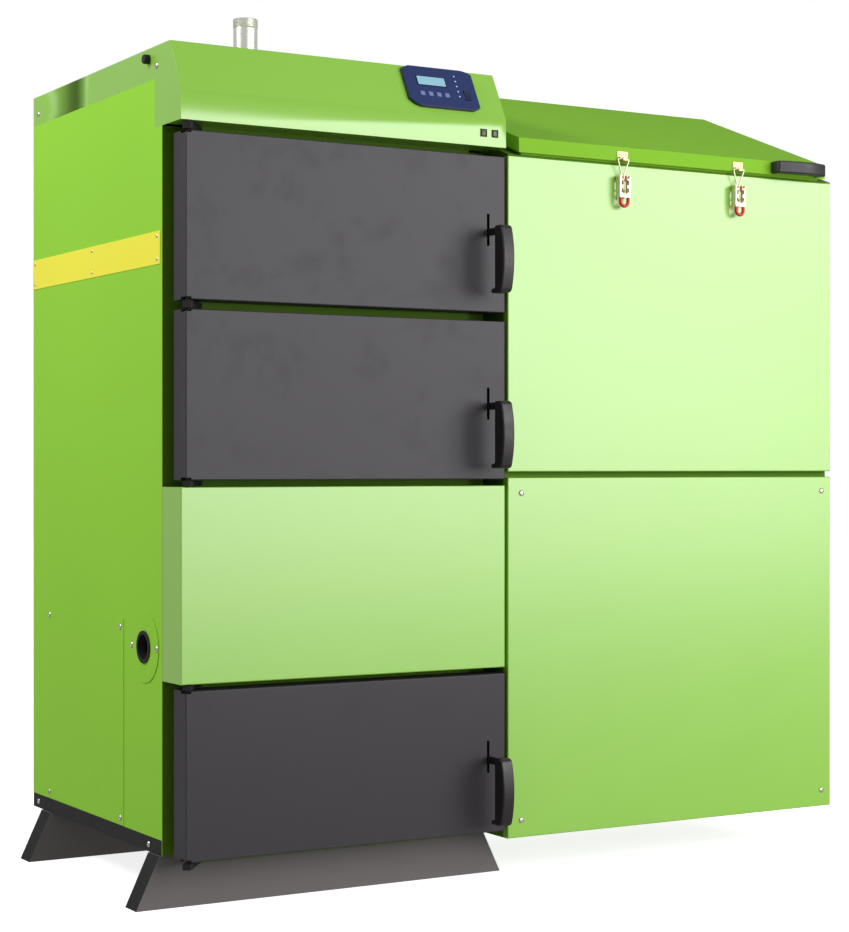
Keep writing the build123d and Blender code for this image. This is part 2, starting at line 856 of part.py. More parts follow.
def chute_plates(inner_y):
    """The four plates of the chute, from the auger tube up to the funnel."""
    chute_y = funnel_mouth_depth / 2 + funnel_sheet
    low = funnel_mouth_low
    high = funnel_mouth_high
    plates = []
    for span in (
        (low - 5, high + 5, feed_y - chute_y, feed_y - inner_y),
        (low - 5, high + 5, feed_y + inner_y, feed_y + chute_y),
        (low - 5, low, feed_y - inner_y, feed_y + inner_y),
        (high, high + 5, feed_y - inner_y, feed_y + inner_y),
    ):
        plate = block(*span, feed_z, funnel_mouth_z)
        plates.append(plate - rod_x(tube_radius, low - 6, high + 6, feed_y, feed_z))
    return plates


def auger_screw():
    """Feed auger: a shaft with a helical flight."""
    start = centre_x + 6
    stop = tube_end - 20
    shaft = rod_x(screw_shaft, start, tube_end + gearbox_length / 2, feed_y, feed_z)
    turns_length = stop - start - 12
    root = screw_shaft - 1
    path = Helix(screw_pitch, turns_length, (screw_radius + root) / 2)
    section = Plane(path @ 0, x_dir=(1, 0, 0), z_dir=(0, 1, 0)) * Rectangle(
        screw_radius - root, flight_thick
    )
    flight = sweep(section, path=path, is_frenet=True)
    flight = Pos(start + 6, feed_y, feed_z) * Rot(0, 90, 0) * flight
    keep("auger_screw", shaft + flight)


def gear_motor():
    """Gearbox on the tube's end, with its motor."""
    bore = screw_shaft + pin_clear
    half = gearbox_size / 2
    box = block(
        tube_end, tube_end + gearbox_length, feed_y - half, feed_y + half, feed_z - half, feed_z + half
    )
    box = chamfer(box.edges().filter_by(Axis.X), 6)
    box -= rod_x(bore, tube_end - 1, tube_end + gearbox_length / 2 + 1, feed_y, feed_z)
    end = tube_end + gearbox_length
    motor = rod_x(motor_radius, end, end + drive_motor_length, feed_y, feed_z)
    keep("gear_motor", box, motor)


def fan_housing():
    """Blower scroll with its outlet, inlet eye and motor."""
    half = duct_size / 2
    axis_z = duct_z - half + fan_radius
    wall = duct_wall
    x0 = fan_x - fan_radius
    z0 = duct_z - half
    scroll = rod_y(fan_radius, feed_y - half, feed_y + half, fan_x, axis_z)
    scroll += block(x0, fan_x, feed_y - half, feed_y + half, z0, z0 + duct_size)
    inside = rod_y(fan_radius - wall, feed_y - half + wall, feed_y + half - wall, fan_x, axis_z)
    inside += block(
        x0 - 1, fan_x, feed_y - half + wall, feed_y + half - wall, z0 + wall, z0 + duct_size - wall
    )
    scroll -= inside
    scroll -= rod_y(fan_eye, feed_y - half - 1, feed_y - half + wall + 1, fan_x, axis_z)
    back = feed_y + half
    scroll -= rod_y(screw_shank * 2, back - wall - 1, back + 1, fan_x, axis_z)
    motor = rod_y(motor_radius, back, back + motor_length, fan_x, axis_z)
    motor -= rod_y(screw_shank * 2, back - 1, back + 12, fan_x, axis_z)
    keep("fan_housing", scroll, motor)
    return axis_z


def fan_impeller(axis_z):
    """Blower wheel: back disc, hub shaft and straight blades."""
    half = impeller_width / 2
    y1 = feed_y + half
    wheel = rod_y(impeller_radius, y1 - 2, y1, fan_x, axis_z)
    wheel += rod_y(10, feed_y - half / 2, y1, fan_x, axis_z)
    wheel += rod_y(screw_shank * 2 - pin_clear, y1 - 1, feed_y + duct_size / 2 + 10, fan_x, axis_z)
    blade = block(impeller_radius - 20, impeller_radius, -half, half - 1, -1, 1)
    for k in range(fan_blades):
        wheel += Pos(fan_x, feed_y, axis_z) * Rot(0, 360 * k / fan_blades, 0) * blade
    keep("fan_impeller", wheel)


def ash_pan():
    """Open ash pan on the floor of the lowest chamber, with a pull lip."""
    x0 = fire_x0 + pan_clear
    x1 = fire_x1 - pan_clear
    y0 = door_depth + shield_reach + pan_clear
    y1 = fire_y1 - pan_clear
    pan = block(x0, x1, y0, y1, fire_z0, fire_z0 + pan_height)
    pan -= block(x0 + sheet, x1 - sheet, y0 + sheet, y1 - sheet, fire_z0 + sheet, fire_z0 + pan_height + 1)
    keep("ash_pan", pan)


def pipes():
    """Flow pipe, return and drain pipes, and the flue spigot."""
    top = body_top + flow_rise
    flow = rod_z(pipe_radius, shell_z1, top, flow_x, flow_y)
    flow += rod_z(pipe_radius + thread_rise, top - thread_length, top, flow_x, flow_y)
    flow = chamfer(flow.edges().filter_by(GeomType.CIRCLE).sort_by(Axis.Z)[-1:], thread_chamfer)
    flow -= rod_z(pipe_bore, shell_z1 - 1, top + 1, flow_x, flow_y)
    keep("flow_pipe", flow)
    rear = []
    for radius, bore, x, z, reach in (
        (pipe_radius, pipe_bore, centre_x, return_z, return_reach),
        (drain_radius, drain_bore, drain_x, drain_z, drain_reach),
    ):
        end = body_rear + reach
        pipe = rod_y(radius, shell_y1, end, x, z)
        pipe += rod_y(radius + thread_rise, end - thread_length, end, x, z)
        rear.append(pipe - rod_y(bore, shell_y1 - 1, end + 1, x, z))
    keep("rear_pipes", *rear)
    end = body_rear + flue_reach
    flue = rod_y(flue_radius - flue_step, fire_y1, end, centre_x, flue_z)
    flue += rod_y(flue_radius, body_rear + flue_step, end, centre_x, flue_z)
    flue -= rod_y(flue_radius - flue_step - flue_wall, fire_y1 - 1, end + 1, centre_x, flue_z)
    keep("flue_spigot", flue)


def screw(x, y, z, turn):
    """A dome-head screw whose head stands on the given point, out along the turned -Y."""
    head = Pos(0, 0, screw_rise / 2) * Cylinder(screw_head, screw_rise)
    rim = head.edges().filter_by(GeomType.CIRCLE).sort_by(Axis.Z)[-1:]
    head = fillet(rim, screw_rise * 0.8)
    body = head + Pos(0, 0, -screw_length / 2) * Cylinder(screw_shank, screw_length)
    return Pos(x, y, z) * turn * body


def side_details():
    """Strip, rivets, service plate, spare port disc and ring, cap and screws."""
    strip = block(-strip_sheet, 0, strip_front, body_rear, strip_low, strip_high)
    keep("side_strip", strip)
    rivets = []
    middle = (strip_front + body_rear) / 2
    for y in (strip_front + rivet_inset, middle, body_rear - rivet_inset):
        for z in (strip_low + rivet_inset - 4, strip_high - rivet_inset + 4):
            rivets.append(rod_x(rivet_radius, -strip_sheet - rivet_head, -strip_sheet, y, z))
    keep("strip_rivets", *rivets)
    keep("service_plate", block(-strip_sheet, 0, plate_front, plate_rear, plate_low, plate_high))
    disc = rod_x(disc_radius, -disc_sheet, 0, feed_y, feed_z)
    disc -= rod_x(ring_bore + 3, -disc_sheet - 1, 1, feed_y, feed_z)
    keep("blanking_disc", disc)
    ring = rod_x(ring_radius, -disc_sheet - 2.5, -disc_sheet, feed_y, feed_z)
    ring += rod_x(ring_bore + 3, -disc_sheet, -disc_sheet + ring_depth, feed_y, feed_z)
    ring -= rod_x(ring_bore, -disc_sheet - 5, ring_depth + 1, feed_y, feed_z)
    keep("disc_grommet", ring)
    cap = rod_x(cap_radius, -cap_reach, 0, cap_y, cap_z)
    cap = fillet(cap.faces().sort_by(Axis.X)[0].edges(), 2.0)
    cap += rod_x(screw_shank, -1, screw_length / 2, cap_y, cap_z)
    keep("skirt_cap", cap)
    cover_screws()


def cover_screws():
    """Every dome-head screw of the jacket, the side plates and the lower hopper panel."""
    left = Rot(0, -90, 0)
    front = Rot(90, 0, 0)
    rear_y = body_rear - 26
    skirt_z = body_top - 32
    side = [
        (0, skirt_front - 8, skirt_z), (0, rear_y, skirt_z),
        (0, side_front + 53, rail_top - 13), (0, rear_y - 2, rail_top - 13),
        (-strip_sheet, plate_front + screw_inset, plate_low + screw_inset - 3),
        (-strip_sheet, plate_rear - screw_inset, plate_low + screw_inset - 3),
        (-strip_sheet, plate_front + screw_inset, plate_high - screw_inset),
        (-strip_sheet, plate_rear - screw_inset, plate_high - screw_inset),
        (-disc_sheet, feed_y - disc_screw, feed_z), (-disc_sheet, feed_y + disc_screw, feed_z),
    ]
    lower = [
        (x, 0, z)
        for x in (hopper_x0 + dome_inset_x, hopper_x1 - dome_inset_x + 5)
        for z in (hopper_bottom + dome_low, panel_split - dome_high)
    ]
    screws = [screw(*place, left) for place in side] + [screw(*place, front) for place in lower]
    for name in ("top_cover", "side_panel_left", "service_plate", "blanking_disc", "base_rails"):
        for place in side:
            hole = rod_x(screw_shank, -5, screw_length, place[1], place[2])
            parts[name] = [solid - hole for solid in parts[name]]
    for place in lower:
        hole = rod_y(screw_shank, -1, screw_length + 1, place[0], place[2])
        for name in ("hopper_lower_panel", "hopper_casing"):
            parts[name] = [solid - hole for solid in parts[name]]
    keep("cover_screws", *screws)


def button_places():
    """X of the fascia buttons."""
    return (button_first, button_first + button_pitch)


def on_slope():
    """Plane on the console slope: x along the front, y up the slope, z out of it."""
    return Plane(
        origin=(0, 0, z_fascia_top), x_dir=(1, 0, 0), z_dir=(0, -console_rise, console_run)
    )


def control_panel():
    """Panel housing with its swept corners, display, foil keys, lamps and rocker switch."""
    slope_plane = on_slope()
    small = panel_corner
    large = panel_sweep
    outline = [
        Line((panel_left, panel_low + small * 2), (panel_left, panel_high - small)),
        Line((panel_left, panel_high - small), (panel_left + small * 2, panel_high)),
        Line((panel_left + small * 2, panel_high), (panel_right - large, panel_high)),
        ThreePointArc(
            (panel_right - large, panel_high), (panel_right - large * 0.42, panel_high - 1.6),
            (panel_right, panel_high - small),
        ),
        Line((panel_right, panel_high - small), (panel_right, panel_low + small)),
        Line((panel_right, panel_low + small), (panel_right - small * 2, panel_low)),
        Line((panel_right - small * 2, panel_low), (panel_left + large, panel_low)),
        ThreePointArc(
            (panel_left + large, panel_low), (panel_left + large * 0.42, panel_low + 3.4),
            (panel_left, panel_low + small * 2),
        ),
    ]
    body = extrude(make_face(outline), panel_thick)
    top_edges = [e for e in body.edges() if e.center().Z > panel_thick - 0.01]
    body = chamfer(top_edges, 1.2)
    rocker_high = rocker_low + rocker_length
    half = rocker_width / 2 + rocker_clear
    body -= block(
        rocker_x - half, rocker_x + half, rocker_low - rocker_clear, rocker_high + rocker_clear,
        1.0, panel_thick + 1,
    )
    for side in (-1, 1):
        body += slope_ear(side)
    keep("panel_housing", slope_plane * body)
    window = []
    z = panel_thick
    window.append(block(display_left, display_right, display_low, display_high, z, z + glass_proud))
    for k in range(key_count):
        x = key_first + k * key_pitch
        window.append(block(
            x - key_size / 2, x + key_size / 2, key_low, key_low + key_size, z, z + key_proud
        ))
    for k in range(lamp_count):
        y = lamp_low + (lamp_high - lamp_low) * k / (lamp_count - 1)
        window.append(Pos(lamp_x, y, z + key_proud / 2) * Cylinder(lamp_radius, key_proud))
    keep("panel_window", *[slope_plane * solid for solid in window])
    keep("power_rocker", slope_plane * rocker())


def slope_ear(side):
    """A pin stub in the rocker's pocket, in slope coordinates."""
    edge = rocker_x + side * (rocker_width / 2 + rocker_clear)
    x0, x1 = sorted((edge, edge - side * 1.6))
    return rod_x(1.0, x0, x1, rocker_low + rocker_length / 2, 3.2)


def rocker():
    """Rocker cap, tilted to its off side, in slope coordinates."""
    middle = rocker_low + rocker_length / 2
    half = rocker_length / 2 - 1.1
    outline = [(-half, 4.4), (0, 3.2), (half, 4.4), (half, 1.4), (2.0, -1.4), (-2.0, -1.4), (-half, 1.4)]
    cap = slab_x(outline, -rocker_width / 2, rocker_width / 2)
    cap -= rod_x(1.0 + pin_clear, -rocker_width, rocker_width, 0, 0)
    return Pos(rocker_x, middle, 3.2) * Rot(rocker_tilt / 2, 0, 0) * cap


def fascia_buttons():
    """Two square push buttons in the fascia."""
    z = z_fascia + button_height
    half = button_size / 2
    for k, x in enumerate(button_places()):
        cap = block(x - half, x + half, -1.5, button_reach + sheet, z - half, z + half)
        cap = fillet([e for e in cap.edges() if e.center().Y < -1.4], 0.8)
        keep(f"fascia_button_{k + 1}", cap)


def rim_z(y):
    """Height of the hopper's sloping top at a depth."""
    return hopper_front_top + slope * y


def sloped(y0, y1, x0, x1):
    """A strip of the hopper's sloping rim."""
    return slab_x([
        (y0, rim_z(y0) - rim_drop), (y1, rim_z(y1) - rim_drop), (y1, rim_z(y1)), (y0, rim_z(y0)),
    ], x0, x1)


def hopper_casing():
    """Side, rear and bottom sheets of the hopper, its posts, rails and rim strips."""
    port_y0, port_y1, port_z0, port_z1 = port
    y0 = tray_depth
    y1 = hopper_depth
    wall_outline = [
        (y0, hopper_bottom), (y1, hopper_bottom), (y1, rim_z(y1) - rim_drop), (y0, rim_z(y0) - rim_drop),
    ]
    left = slab_x(wall_outline, hopper_x0, hopper_x0 + sheet)
    left -= block(hopper_x0 - 1, hopper_x0 + sheet + 1, port_y0, port_y1, port_z0, port_z1)
    for y in stud_ys:
        for z in stud_zs:
            left -= rod_x(stud_screw + weld_gap, hopper_x0 - 1, hopper_x0 + sheet + 1, y, z)
    right = slab_x(wall_outline, hopper_x1 - sheet, hopper_x1)
    x0 = hopper_x0 + sheet
    x1 = hopper_x1 - sheet
    rear = block(x0, x1, y1 - sheet, y1, hopper_bottom, rim_z(y1 - sheet) - rim_drop)
    base = block(x0, x1, y0, y1 - sheet, hopper_bottom, hopper_bottom + sheet)
    low = hopper_bottom + sheet
    high = rim_z(y0) - rim_drop
    split_low = panel_split - rail_strip
    split_high = panel_split + panel_split_gap + rail_strip
    pieces = [left, right, rear, base]
    for a, b in ((x0, x0 + post_width), (x1 - post_width, x1)):
        pieces.append(block(a, b, y0, y0 + sheet, low, split_low))
        pieces.append(block(a, b, y0, y0 + sheet, split_high, high))
    pieces.append(block(x0, x1, y0, y0 + sheet, split_low, split_high))
    pieces.append(sloped(0, y1, hopper_x0, hopper_x0 + rim_width))
    pieces.append(sloped(0, y1, hopper_x1 - rim_width, hopper_x1))
    pieces.append(sloped(0, rim_width, hopper_x0 + rim_width, hopper_x1 - rim_width))
    pieces.append(sloped(y1 - rim_width, y1, hopper_x0 + rim_width, hopper_x1 - rim_width))
    keep("hopper_casing", *pieces)


def hopper_panels():
    """Upper and lower front trays of the hopper."""
    top = rim_z(0) - rim_drop
    split = panel_split + panel_split_gap
    keep("hopper_upper_panel", tray(hopper_x0, hopper_x1, tray_depth, split, top))
    keep("hopper_lower_panel", tray(hopper_x0, hopper_x1, tray_depth, hopper_bottom, panel_split))


def funnel_frustum(grow_x, grow_y):
    """The funnel's tapering inside, grown outwards along X and Y by a wall."""
    top = Plane.XY.offset(funnel_top)
    x0 = hopper_x0 + sheet + weld_gap + funnel_sheet - grow_x
    x1 = hopper_x1 - sheet - weld_gap - funnel_sheet + grow_x
    y0 = tray_depth + sheet + weld_gap + funnel_sheet - grow_y
    y1 = hopper_depth - sheet - weld_gap - funnel_sheet + grow_y
    upper = top * Pos((x0 + x1) / 2, (y0 + y1) / 2) * Rectangle(x1 - x0, y1 - y0)
    low = Plane.XY.offset(funnel_mouth_z)
    wide = funnel_mouth_high - funnel_mouth_low + 2 * grow_x - 2 * funnel_sheet
    deep = funnel_mouth_depth + 2 * grow_y - 2 * funnel_sheet
    lower = low * Pos((funnel_mouth_low + funnel_mouth_high) / 2, feed_y) * Rectangle(wide, deep)
    return loft([lower, upper])


def hopper_funnel():
    """Sloping funnel under the pellet bin, as four plates, down to the feeder chute."""
    inside = funnel_frustum(0, 0)
    widened = funnel_frustum(funnel_sheet, 0)
    outside = funnel_frustum(funnel_sheet, funnel_sheet)
    side_plates = widened - inside
    end_plates = outside - widened
    keep("hopper_funnel", *side_plates.solids(), *end_plates.solids())


def hopper_studs():
    """Shouldered studs from the boiler body through the side panel to the hopper wall."""
    solids = []
    for y in stud_ys:
        for z in stud_zs:
            stud = rod_x(stud_radius, shell_x1, hopper_x0, y, z)
            stud += rod_x(stud_screw, hopper_x0, hopper_x0 + sheet + stud_reach, y, z)
            nut_face = Plane.YZ.offset(hopper_x0 + sheet) * Pos(y, z) * RegularPolygon(stud_nut, 6)
            stud += extrude(nut_face, 6.5)
            solids.append(stud)
    keep("hopper_studs", *solids)


def lid_outline(inset):
    """Side outline of the lid tray, with its inside found by an inset."""
    length = lid_rear - lid_front
    low = lid_base + lid_front * slope
    high = low + lid_skirt
    top_inset = inset / cos(radians(lid_slope))
    bottom = low - (1 if inset else 0)
    return [
        (lid_front + inset, bottom + inset * slope), (lid_front + inset, high + inset * slope - top_inset),
        (lid_rear - inset, high + (length - inset) * slope - top_inset),
        (lid_rear - inset, bottom + (length - inset) * slope),
    ]


def hopper_lid():
    """Sloping lid tray with its sealing strips and hinge knuckles."""
    lid = slab_x(lid_outline(0), lid_x0, lid_x1)
    lid -= slab_x(lid_outline(sheet), lid_x0 + sheet, lid_x1 - sheet)
    seals = []
    x0 = lid_x0 + seal_inset
    x1 = lid_x1 - seal_inset
    y0 = lid_front + seal_inset
    y1 = lid_rear - seal_inset
    wide = seal_width
    low = hopper_front_top + rope_clear
    under = lid_base + lid_skirt - sheet / cos(radians(lid_slope))
    for a, b, c, d in (
        (x0, x0 + wide, y0, y1), (x1 - wide, x1, y0, y1),
        (x0 + wide, x1 - wide, y0, y0 + wide), (x0 + wide, x1 - wide, y1 - wide, y1),
    ):
        seals.append(slab_x([
            (c, low + slope * c), (d, low + slope * d),
            (d, under + slope * d), (c, under + slope * c),
        ], a, b))
    for k, (x0, x1) in enumerate(knuckle_spans()):
        if k % 2 == 1:
            barrel = rod_x(knuckle, x0, x1, hinge_line_y, lid_hinge_z)
            barrel += block(x0, x1, lid_rear, hinge_line_y, lid_hinge_z, lid_hinge_z + knuckle)
            barrel -= rod_x(hinge_rod + pin_clear, x0 - 1, x1 + 1, hinge_line_y, lid_hinge_z)
            lid += barrel
    keep("hopper_lid", lid, *seals)


def knuckle_spans():
    """X ranges of the hinge knuckles, side by side along the lid's rear edge."""
    total = knuckle_count * knuckle_length
    start = (lid_x0 + lid_x1 - total) / 2
    return [
        (start + k * knuckle_length + weld_gap, start + (k + 1) * knuckle_length - weld_gap)
        for k in range(knuckle_count)
    ]


def lid_hinge():
    """Hinge leaves, fixed knuckles and the hinge rod on the hopper's rear rim."""
    spans = knuckle_spans()
    leaf = None
    for x0, x1 in spans[0::2]:
        plate = slab_x([
            (hinge_line_y, rim_z(hinge_line_y)), (hopper_depth, rim_z(hopper_depth)),
            (hopper_depth, rim_z(hopper_depth) + sheet + 1), (hinge_line_y, lid_hinge_z + sheet),
        ], x0, x1)
        piece = plate + rod_x(knuckle, x0, x1, hinge_line_y, lid_hinge_z)
        leaf = piece if leaf is None else leaf + piece
    leaf += rod_x(hinge_rod, spans[0][0], spans[-1][1], hinge_line_y, lid_hinge_z)
    keep("lid_hinge", leaf)


def lid_handle():
    """Bow handle along X on the lid's front skirt, with a foot at both ends."""
    z = lid_base + lid_front * slope + lid_skirt / 2
    low = grip_top - grip_length
    foot = lid_grip_foot
    near = lid_grip_near
    inside = [
        (0, low), (0, low + foot), (near, low + foot + 2), (near, grip_top - foot - 2),
        (0, grip_top - foot), (0, grip_top),
    ]
    grip = bow(near, lid_grip_far, lid_grip_corner, inside)
    turned = Rot(0, -90, 0) * Pos(0, 0, grip_length / 2 - grip_top) * grip
    keep("lid_handle", Pos(lid_handle_x, lid_front, z) * turned)


def catch_z():
    """Height of the loop bar in the catch hook."""
    return lid_base + lid_front * slope + wire + 2.0


def lid_catches():
    """Catch plates on the lid's front skirt, each with a hook that opens upwards."""
    solids = []
    face = lid_front
    shelf = catch_z() - wire - rope_clear
    for x in latch_xs:
        plate_low = shelf + hook_lip
        plate = block(
            x - catch_width / 2, x + catch_width / 2, face - catch_sheet, face,
            plate_low, plate_low + catch_height,
        )
        half = hook_width / 2
        plate += block(x - half, x + half, face - catch_sheet, face, shelf - catch_sheet, plate_low + 1)
        plate += block(x - half, x + half, face - hook_reach, face, shelf - catch_sheet, shelf)
        plate += block(
            x - half, x + half, face - hook_reach, face - hook_reach + catch_sheet,
            shelf - catch_sheet, shelf + hook_lip,
        )
        solids.append(plate)
    keep("lid_catches", *solids)


def latch_bases():
    """Latch base plates on the upper panel, with ears and rivet pins."""
    solids = []
    pivot_z = catch_z() - latch_pivot_drop
    for x in latch_xs:
        half = base_width / 2
        base = block(x - half, x + half, -base_sheet, 0, pivot_z - base_low, pivot_z + 6)
        for side in (-1, 1):
            ear_x0, ear_x1 = sorted((x + side * half, x + side * (half - base_sheet)))
            base += block(ear_x0, ear_x1, -latch_pivot_y - 3.5, 0, pivot_z - 5, pivot_z + 5)
            pin_x0, pin_x1 = sorted((x + side * half, x + side * (latch_width / 2 + 0.8)))
            base += rod_x(1.6, pin_x0, pin_x1, -latch_pivot_y, pivot_z)
        for z in (pivot_z - base_low + 6, pivot_z - base_low + 20):
            base += rod_y(2.6, -base_sheet - 1.0, 0, x, z)
        solids.append(base)
    keep("latch_bases", *solids)


def latch_lever(index):
    """Latch lever: two cheeks, a pierced front web and the red-ended wire bail."""
    x = latch_xs[index]
    pivot_z = catch_z() - latch_pivot_drop
    top = pivot_z + 4
    low = top - latch_height
    half = latch_width / 2
    lever = block(x - half, x + half, -latch_depth, -3.0, low, top)
    lever -= block(
        x - half + latch_sheet, x + half - latch_sheet, -latch_depth + latch_sheet, 0, low - 1, top + 1
    )
    web_y = -latch_depth - 1
    web_inner = latch_sheet - latch_depth + 0.2
    slot = latch_slot / 2
    lever -= block(x - slot, x + slot, web_y, web_inner, low + latch_foot, top + 1)
    lever -= block(
        x - half + latch_sheet, x + half - latch_sheet, web_y, web_inner, top - 5, top + 1
    )
    for z in (low + 7.5, low + 21):
        for side in (-1, 1):
            window = sorted((x + side * (slot - 1), x + side * (half - latch_sheet - 1)))
            lever -= block(*window, web_y, web_inner, z, z + 8)
    lever -= rod_x(1.6 + pin_clear, x - half - 1, x + half + 1, -latch_pivot_y, pivot_z)
    loop_z = catch_z() - loop_pivot_drop
    lever -= rod_x(wire + pin_clear, x - half - 1, x + half + 1, -loop_pivot_y, loop_z)
    bail_y = -latch_depth + latch_sheet + bail_wire
    bend = half - latch_sheet - bail_wire
    path = Line((-bend, low + 9), (-bend, low - bail_drop + bend)) + ThreePointArc(
        (-bend, low - bail_drop + bend), (0, low - bail_drop), (bend, low - bail_drop + bend)
    ) + Line((bend, low - bail_drop + bend), (bend, low + 9))
    bail_plane = Plane(origin=(x, bail_y, 0), x_dir=(1, 0, 0), z_dir=(0, -1, 0))
    bail_path = bail_plane * path
    start = Plane(bail_path @ 0, z_dir=bail_path % 0)
    bail = sweep(start * Circle(bail_wire), path=bail_path)
    red = Line((-bend, low - 1), (-bend, low - bail_drop + bend)) + ThreePointArc(
        (-bend, low - bail_drop + bend), (0, low - bail_drop), (bend, low - bail_drop + bend)
    ) + Line((bend, low - bail_drop + bend), (bend, low - 1))
    red_path = bail_plane * red
    red_start = Plane(red_path @ 0, z_dir=red_path % 0)
    sleeve = sweep(red_start * Circle(bail_grip), path=red_path) - bail
    keep(f"latch_lever_{index + 1}", lever + bail, sleeve)


def latch_loop(index):
    """Wire loop: a bar in the catch hook, legs that draw together, and pivot ends in the lever."""
    x = latch_xs[index]
    bar_z = catch_z()
    pivot_z = bar_z - loop_pivot_drop
    neck_z = bar_z - loop_neck_drop
    bar_y = lid_front - hook_reach + catch_sheet + wire + bar_room
    end = latch_width / 2 - 0.2

    def depth(z):
        return -loop_pivot_y + (bar_y + loop_pivot_y) * (z - pivot_z) / (bar_z - pivot_z)

    side = loop_width / 2
    neck = loop_neck / 2
    points = [
        (-end, pivot_z), (-neck, pivot_z), (-neck, neck_z), (-side, bar_z),
        (side, bar_z), (neck, neck_z), (neck, pivot_z), (end, pivot_z),
    ]
    route = [Vector(x + dx, depth(z), z) for dx, z in points]
    path = FilletPolyline(*route, radius=2.0)
    start = Plane(path @ 0, z_dir=path % 0)
    keep(f"latch_loop_{index + 1}", sweep(start * Circle(wire), path=path))


def build():
    """Models every sub-part."""
    boiler_body()
    front_frame()
    jacket()
    top_cover()
    burner_cover()
    base_rails()
    feet()
    for index in range(3):
        door_skin(index)
        door_liner(index)
        door_arm(index)
        door_grip(index)
    hinge_lugs()
    door_keepers()
    socket_end = retort()
    air_box()
    feeder_tube(socket_end)
    auger_screw()
    gear_motor()
    fan_impeller(fan_housing())
    ash_pan()
    pipes()
    control_panel()
    fascia_buttons()
    hopper_casing()
    hopper_panels()
    hopper_funnel()
    hopper_studs()
    side_details()
    hopper_lid()
    lid_hinge()
    lid_handle()
    lid_catches()
    latch_bases()
    for index in range(2):
        latch_lever(index)
        latch_loop(index)


build()

# The finished part stands with the middle of its footprint at the origin.
everything = [solid for group in parts.values() for item in group for solid in item.solids()]
box = Compound(everything).bounding_box()
shift = Vector(-(box.min.X + box.max.X) / 2, -(box.min.Y + box.max.Y) / 2, -box.min.Z)
for name, solids in parts.items():
    placed = [Pos(*shift) * solid for group in solids for solid in group.solids()]
    whole = placed[0] if len(placed) == 1 else Compound(placed)
    export_step(whole, f"parts/{name}.step")
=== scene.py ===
import json
from math import pi, radians

import bpy
from mathutils import Matrix, Vector


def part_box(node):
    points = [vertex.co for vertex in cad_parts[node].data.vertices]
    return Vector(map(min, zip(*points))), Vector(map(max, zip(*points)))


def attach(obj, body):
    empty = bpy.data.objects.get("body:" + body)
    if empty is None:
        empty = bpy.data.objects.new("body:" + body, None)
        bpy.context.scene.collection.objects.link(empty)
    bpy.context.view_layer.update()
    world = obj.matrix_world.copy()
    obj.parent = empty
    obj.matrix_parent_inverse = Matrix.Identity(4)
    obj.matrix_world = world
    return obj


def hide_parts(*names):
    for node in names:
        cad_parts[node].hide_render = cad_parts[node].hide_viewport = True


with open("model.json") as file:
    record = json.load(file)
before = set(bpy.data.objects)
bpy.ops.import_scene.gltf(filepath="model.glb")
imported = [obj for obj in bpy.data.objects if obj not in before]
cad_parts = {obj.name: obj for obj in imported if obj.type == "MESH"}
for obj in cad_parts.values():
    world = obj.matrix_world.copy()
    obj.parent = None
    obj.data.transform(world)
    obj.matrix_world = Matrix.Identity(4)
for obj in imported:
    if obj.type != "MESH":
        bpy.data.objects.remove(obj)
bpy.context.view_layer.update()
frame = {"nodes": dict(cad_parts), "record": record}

bl_info = {
    "name": "Pellet boiler",
    "version": (1, 0, 0),
    "blender": (4, 5, 0),
    "location": "3D View > Sidebar > Boiler",
    "description": "Dresses the pellet boiler with paint, metals, fasteners, latches, light and camera",
    "category": "Object",
}

# Lengths in metres, angles in radians
MM = 0.001
MERGE = 1e-6
THIN_EDGE = 0.0006
FINE_EDGE = 0.0003
TINY_EDGE = 0.0002
BEVEL_FROM = radians(30)
SMOOTH_TO = radians(35)
FLAT_WITHIN = radians(0.5)

CAMERA_PLACE = (-1.94115, -3.30129, 0.69024)
CAMERA_TURN = (radians(90.02), 0, radians(-30.41))
CAMERA_LENS_MM = 81.67


# Places and selection

def spot(node):
    """Lowest and highest corner of a CAD node, as vectors in metres."""
    low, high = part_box(node)
    return Vector(low), Vector(high)


def body_of_node(node):
    """Name of the body that a CAD node rides on."""
    for body, nodes in frame["record"]["behaviour"]["bodies"].items():
        if node in nodes:
            return body
    raise ValueError(f"no body holds {node}")


def nothing():
    """Leaves edit mode and deselects everything."""
    if bpy.context.object and bpy.context.object.mode != "OBJECT":
        bpy.ops.object.mode_set(mode="OBJECT")
    bpy.ops.object.select_all(action="DESELECT")


def only(piece):
    """Selects one piece and makes it active."""
    nothing()
    piece.select_set(True)
    bpy.context.view_layer.objects.active = piece


def settle(piece):
    """Puts a piece's place into its mesh, so that its object stands at the origin."""
    only(piece)
    bpy.ops.object.transform_apply(location=True, rotation=True, scale=True)


def edit(piece, mode="FACE"):
    """Enters edit mode on a piece with nothing selected."""
    only(piece)
    bpy.ops.object.mode_set(mode="EDIT")
    bpy.ops.mesh.select_mode(type=mode)
    bpy.ops.mesh.select_all(action="DESELECT")
    bpy.ops.object.mode_set(mode="OBJECT")


def pick_faces(piece, test):
    """Selects the faces whose centre and normal pass a test, and enters edit mode."""
    edit(piece, "FACE")
    for face in piece.data.polygons:
        face.select = test(face.center, face.normal)
    bpy.ops.object.mode_set(mode="EDIT")


def out_of_edit():
    """Back to object mode."""
    bpy.ops.object.mode_set(mode="OBJECT")


def modifier(piece, kind, **settings):
    """Adds a modifier, sets it and applies it."""
    only(piece)
    made = piece.modifiers.new(kind.title(), kind)
    for key, value in settings.items():
        setattr(made, key, value)
    bpy.ops.object.modifier_apply(modifier=made.name)


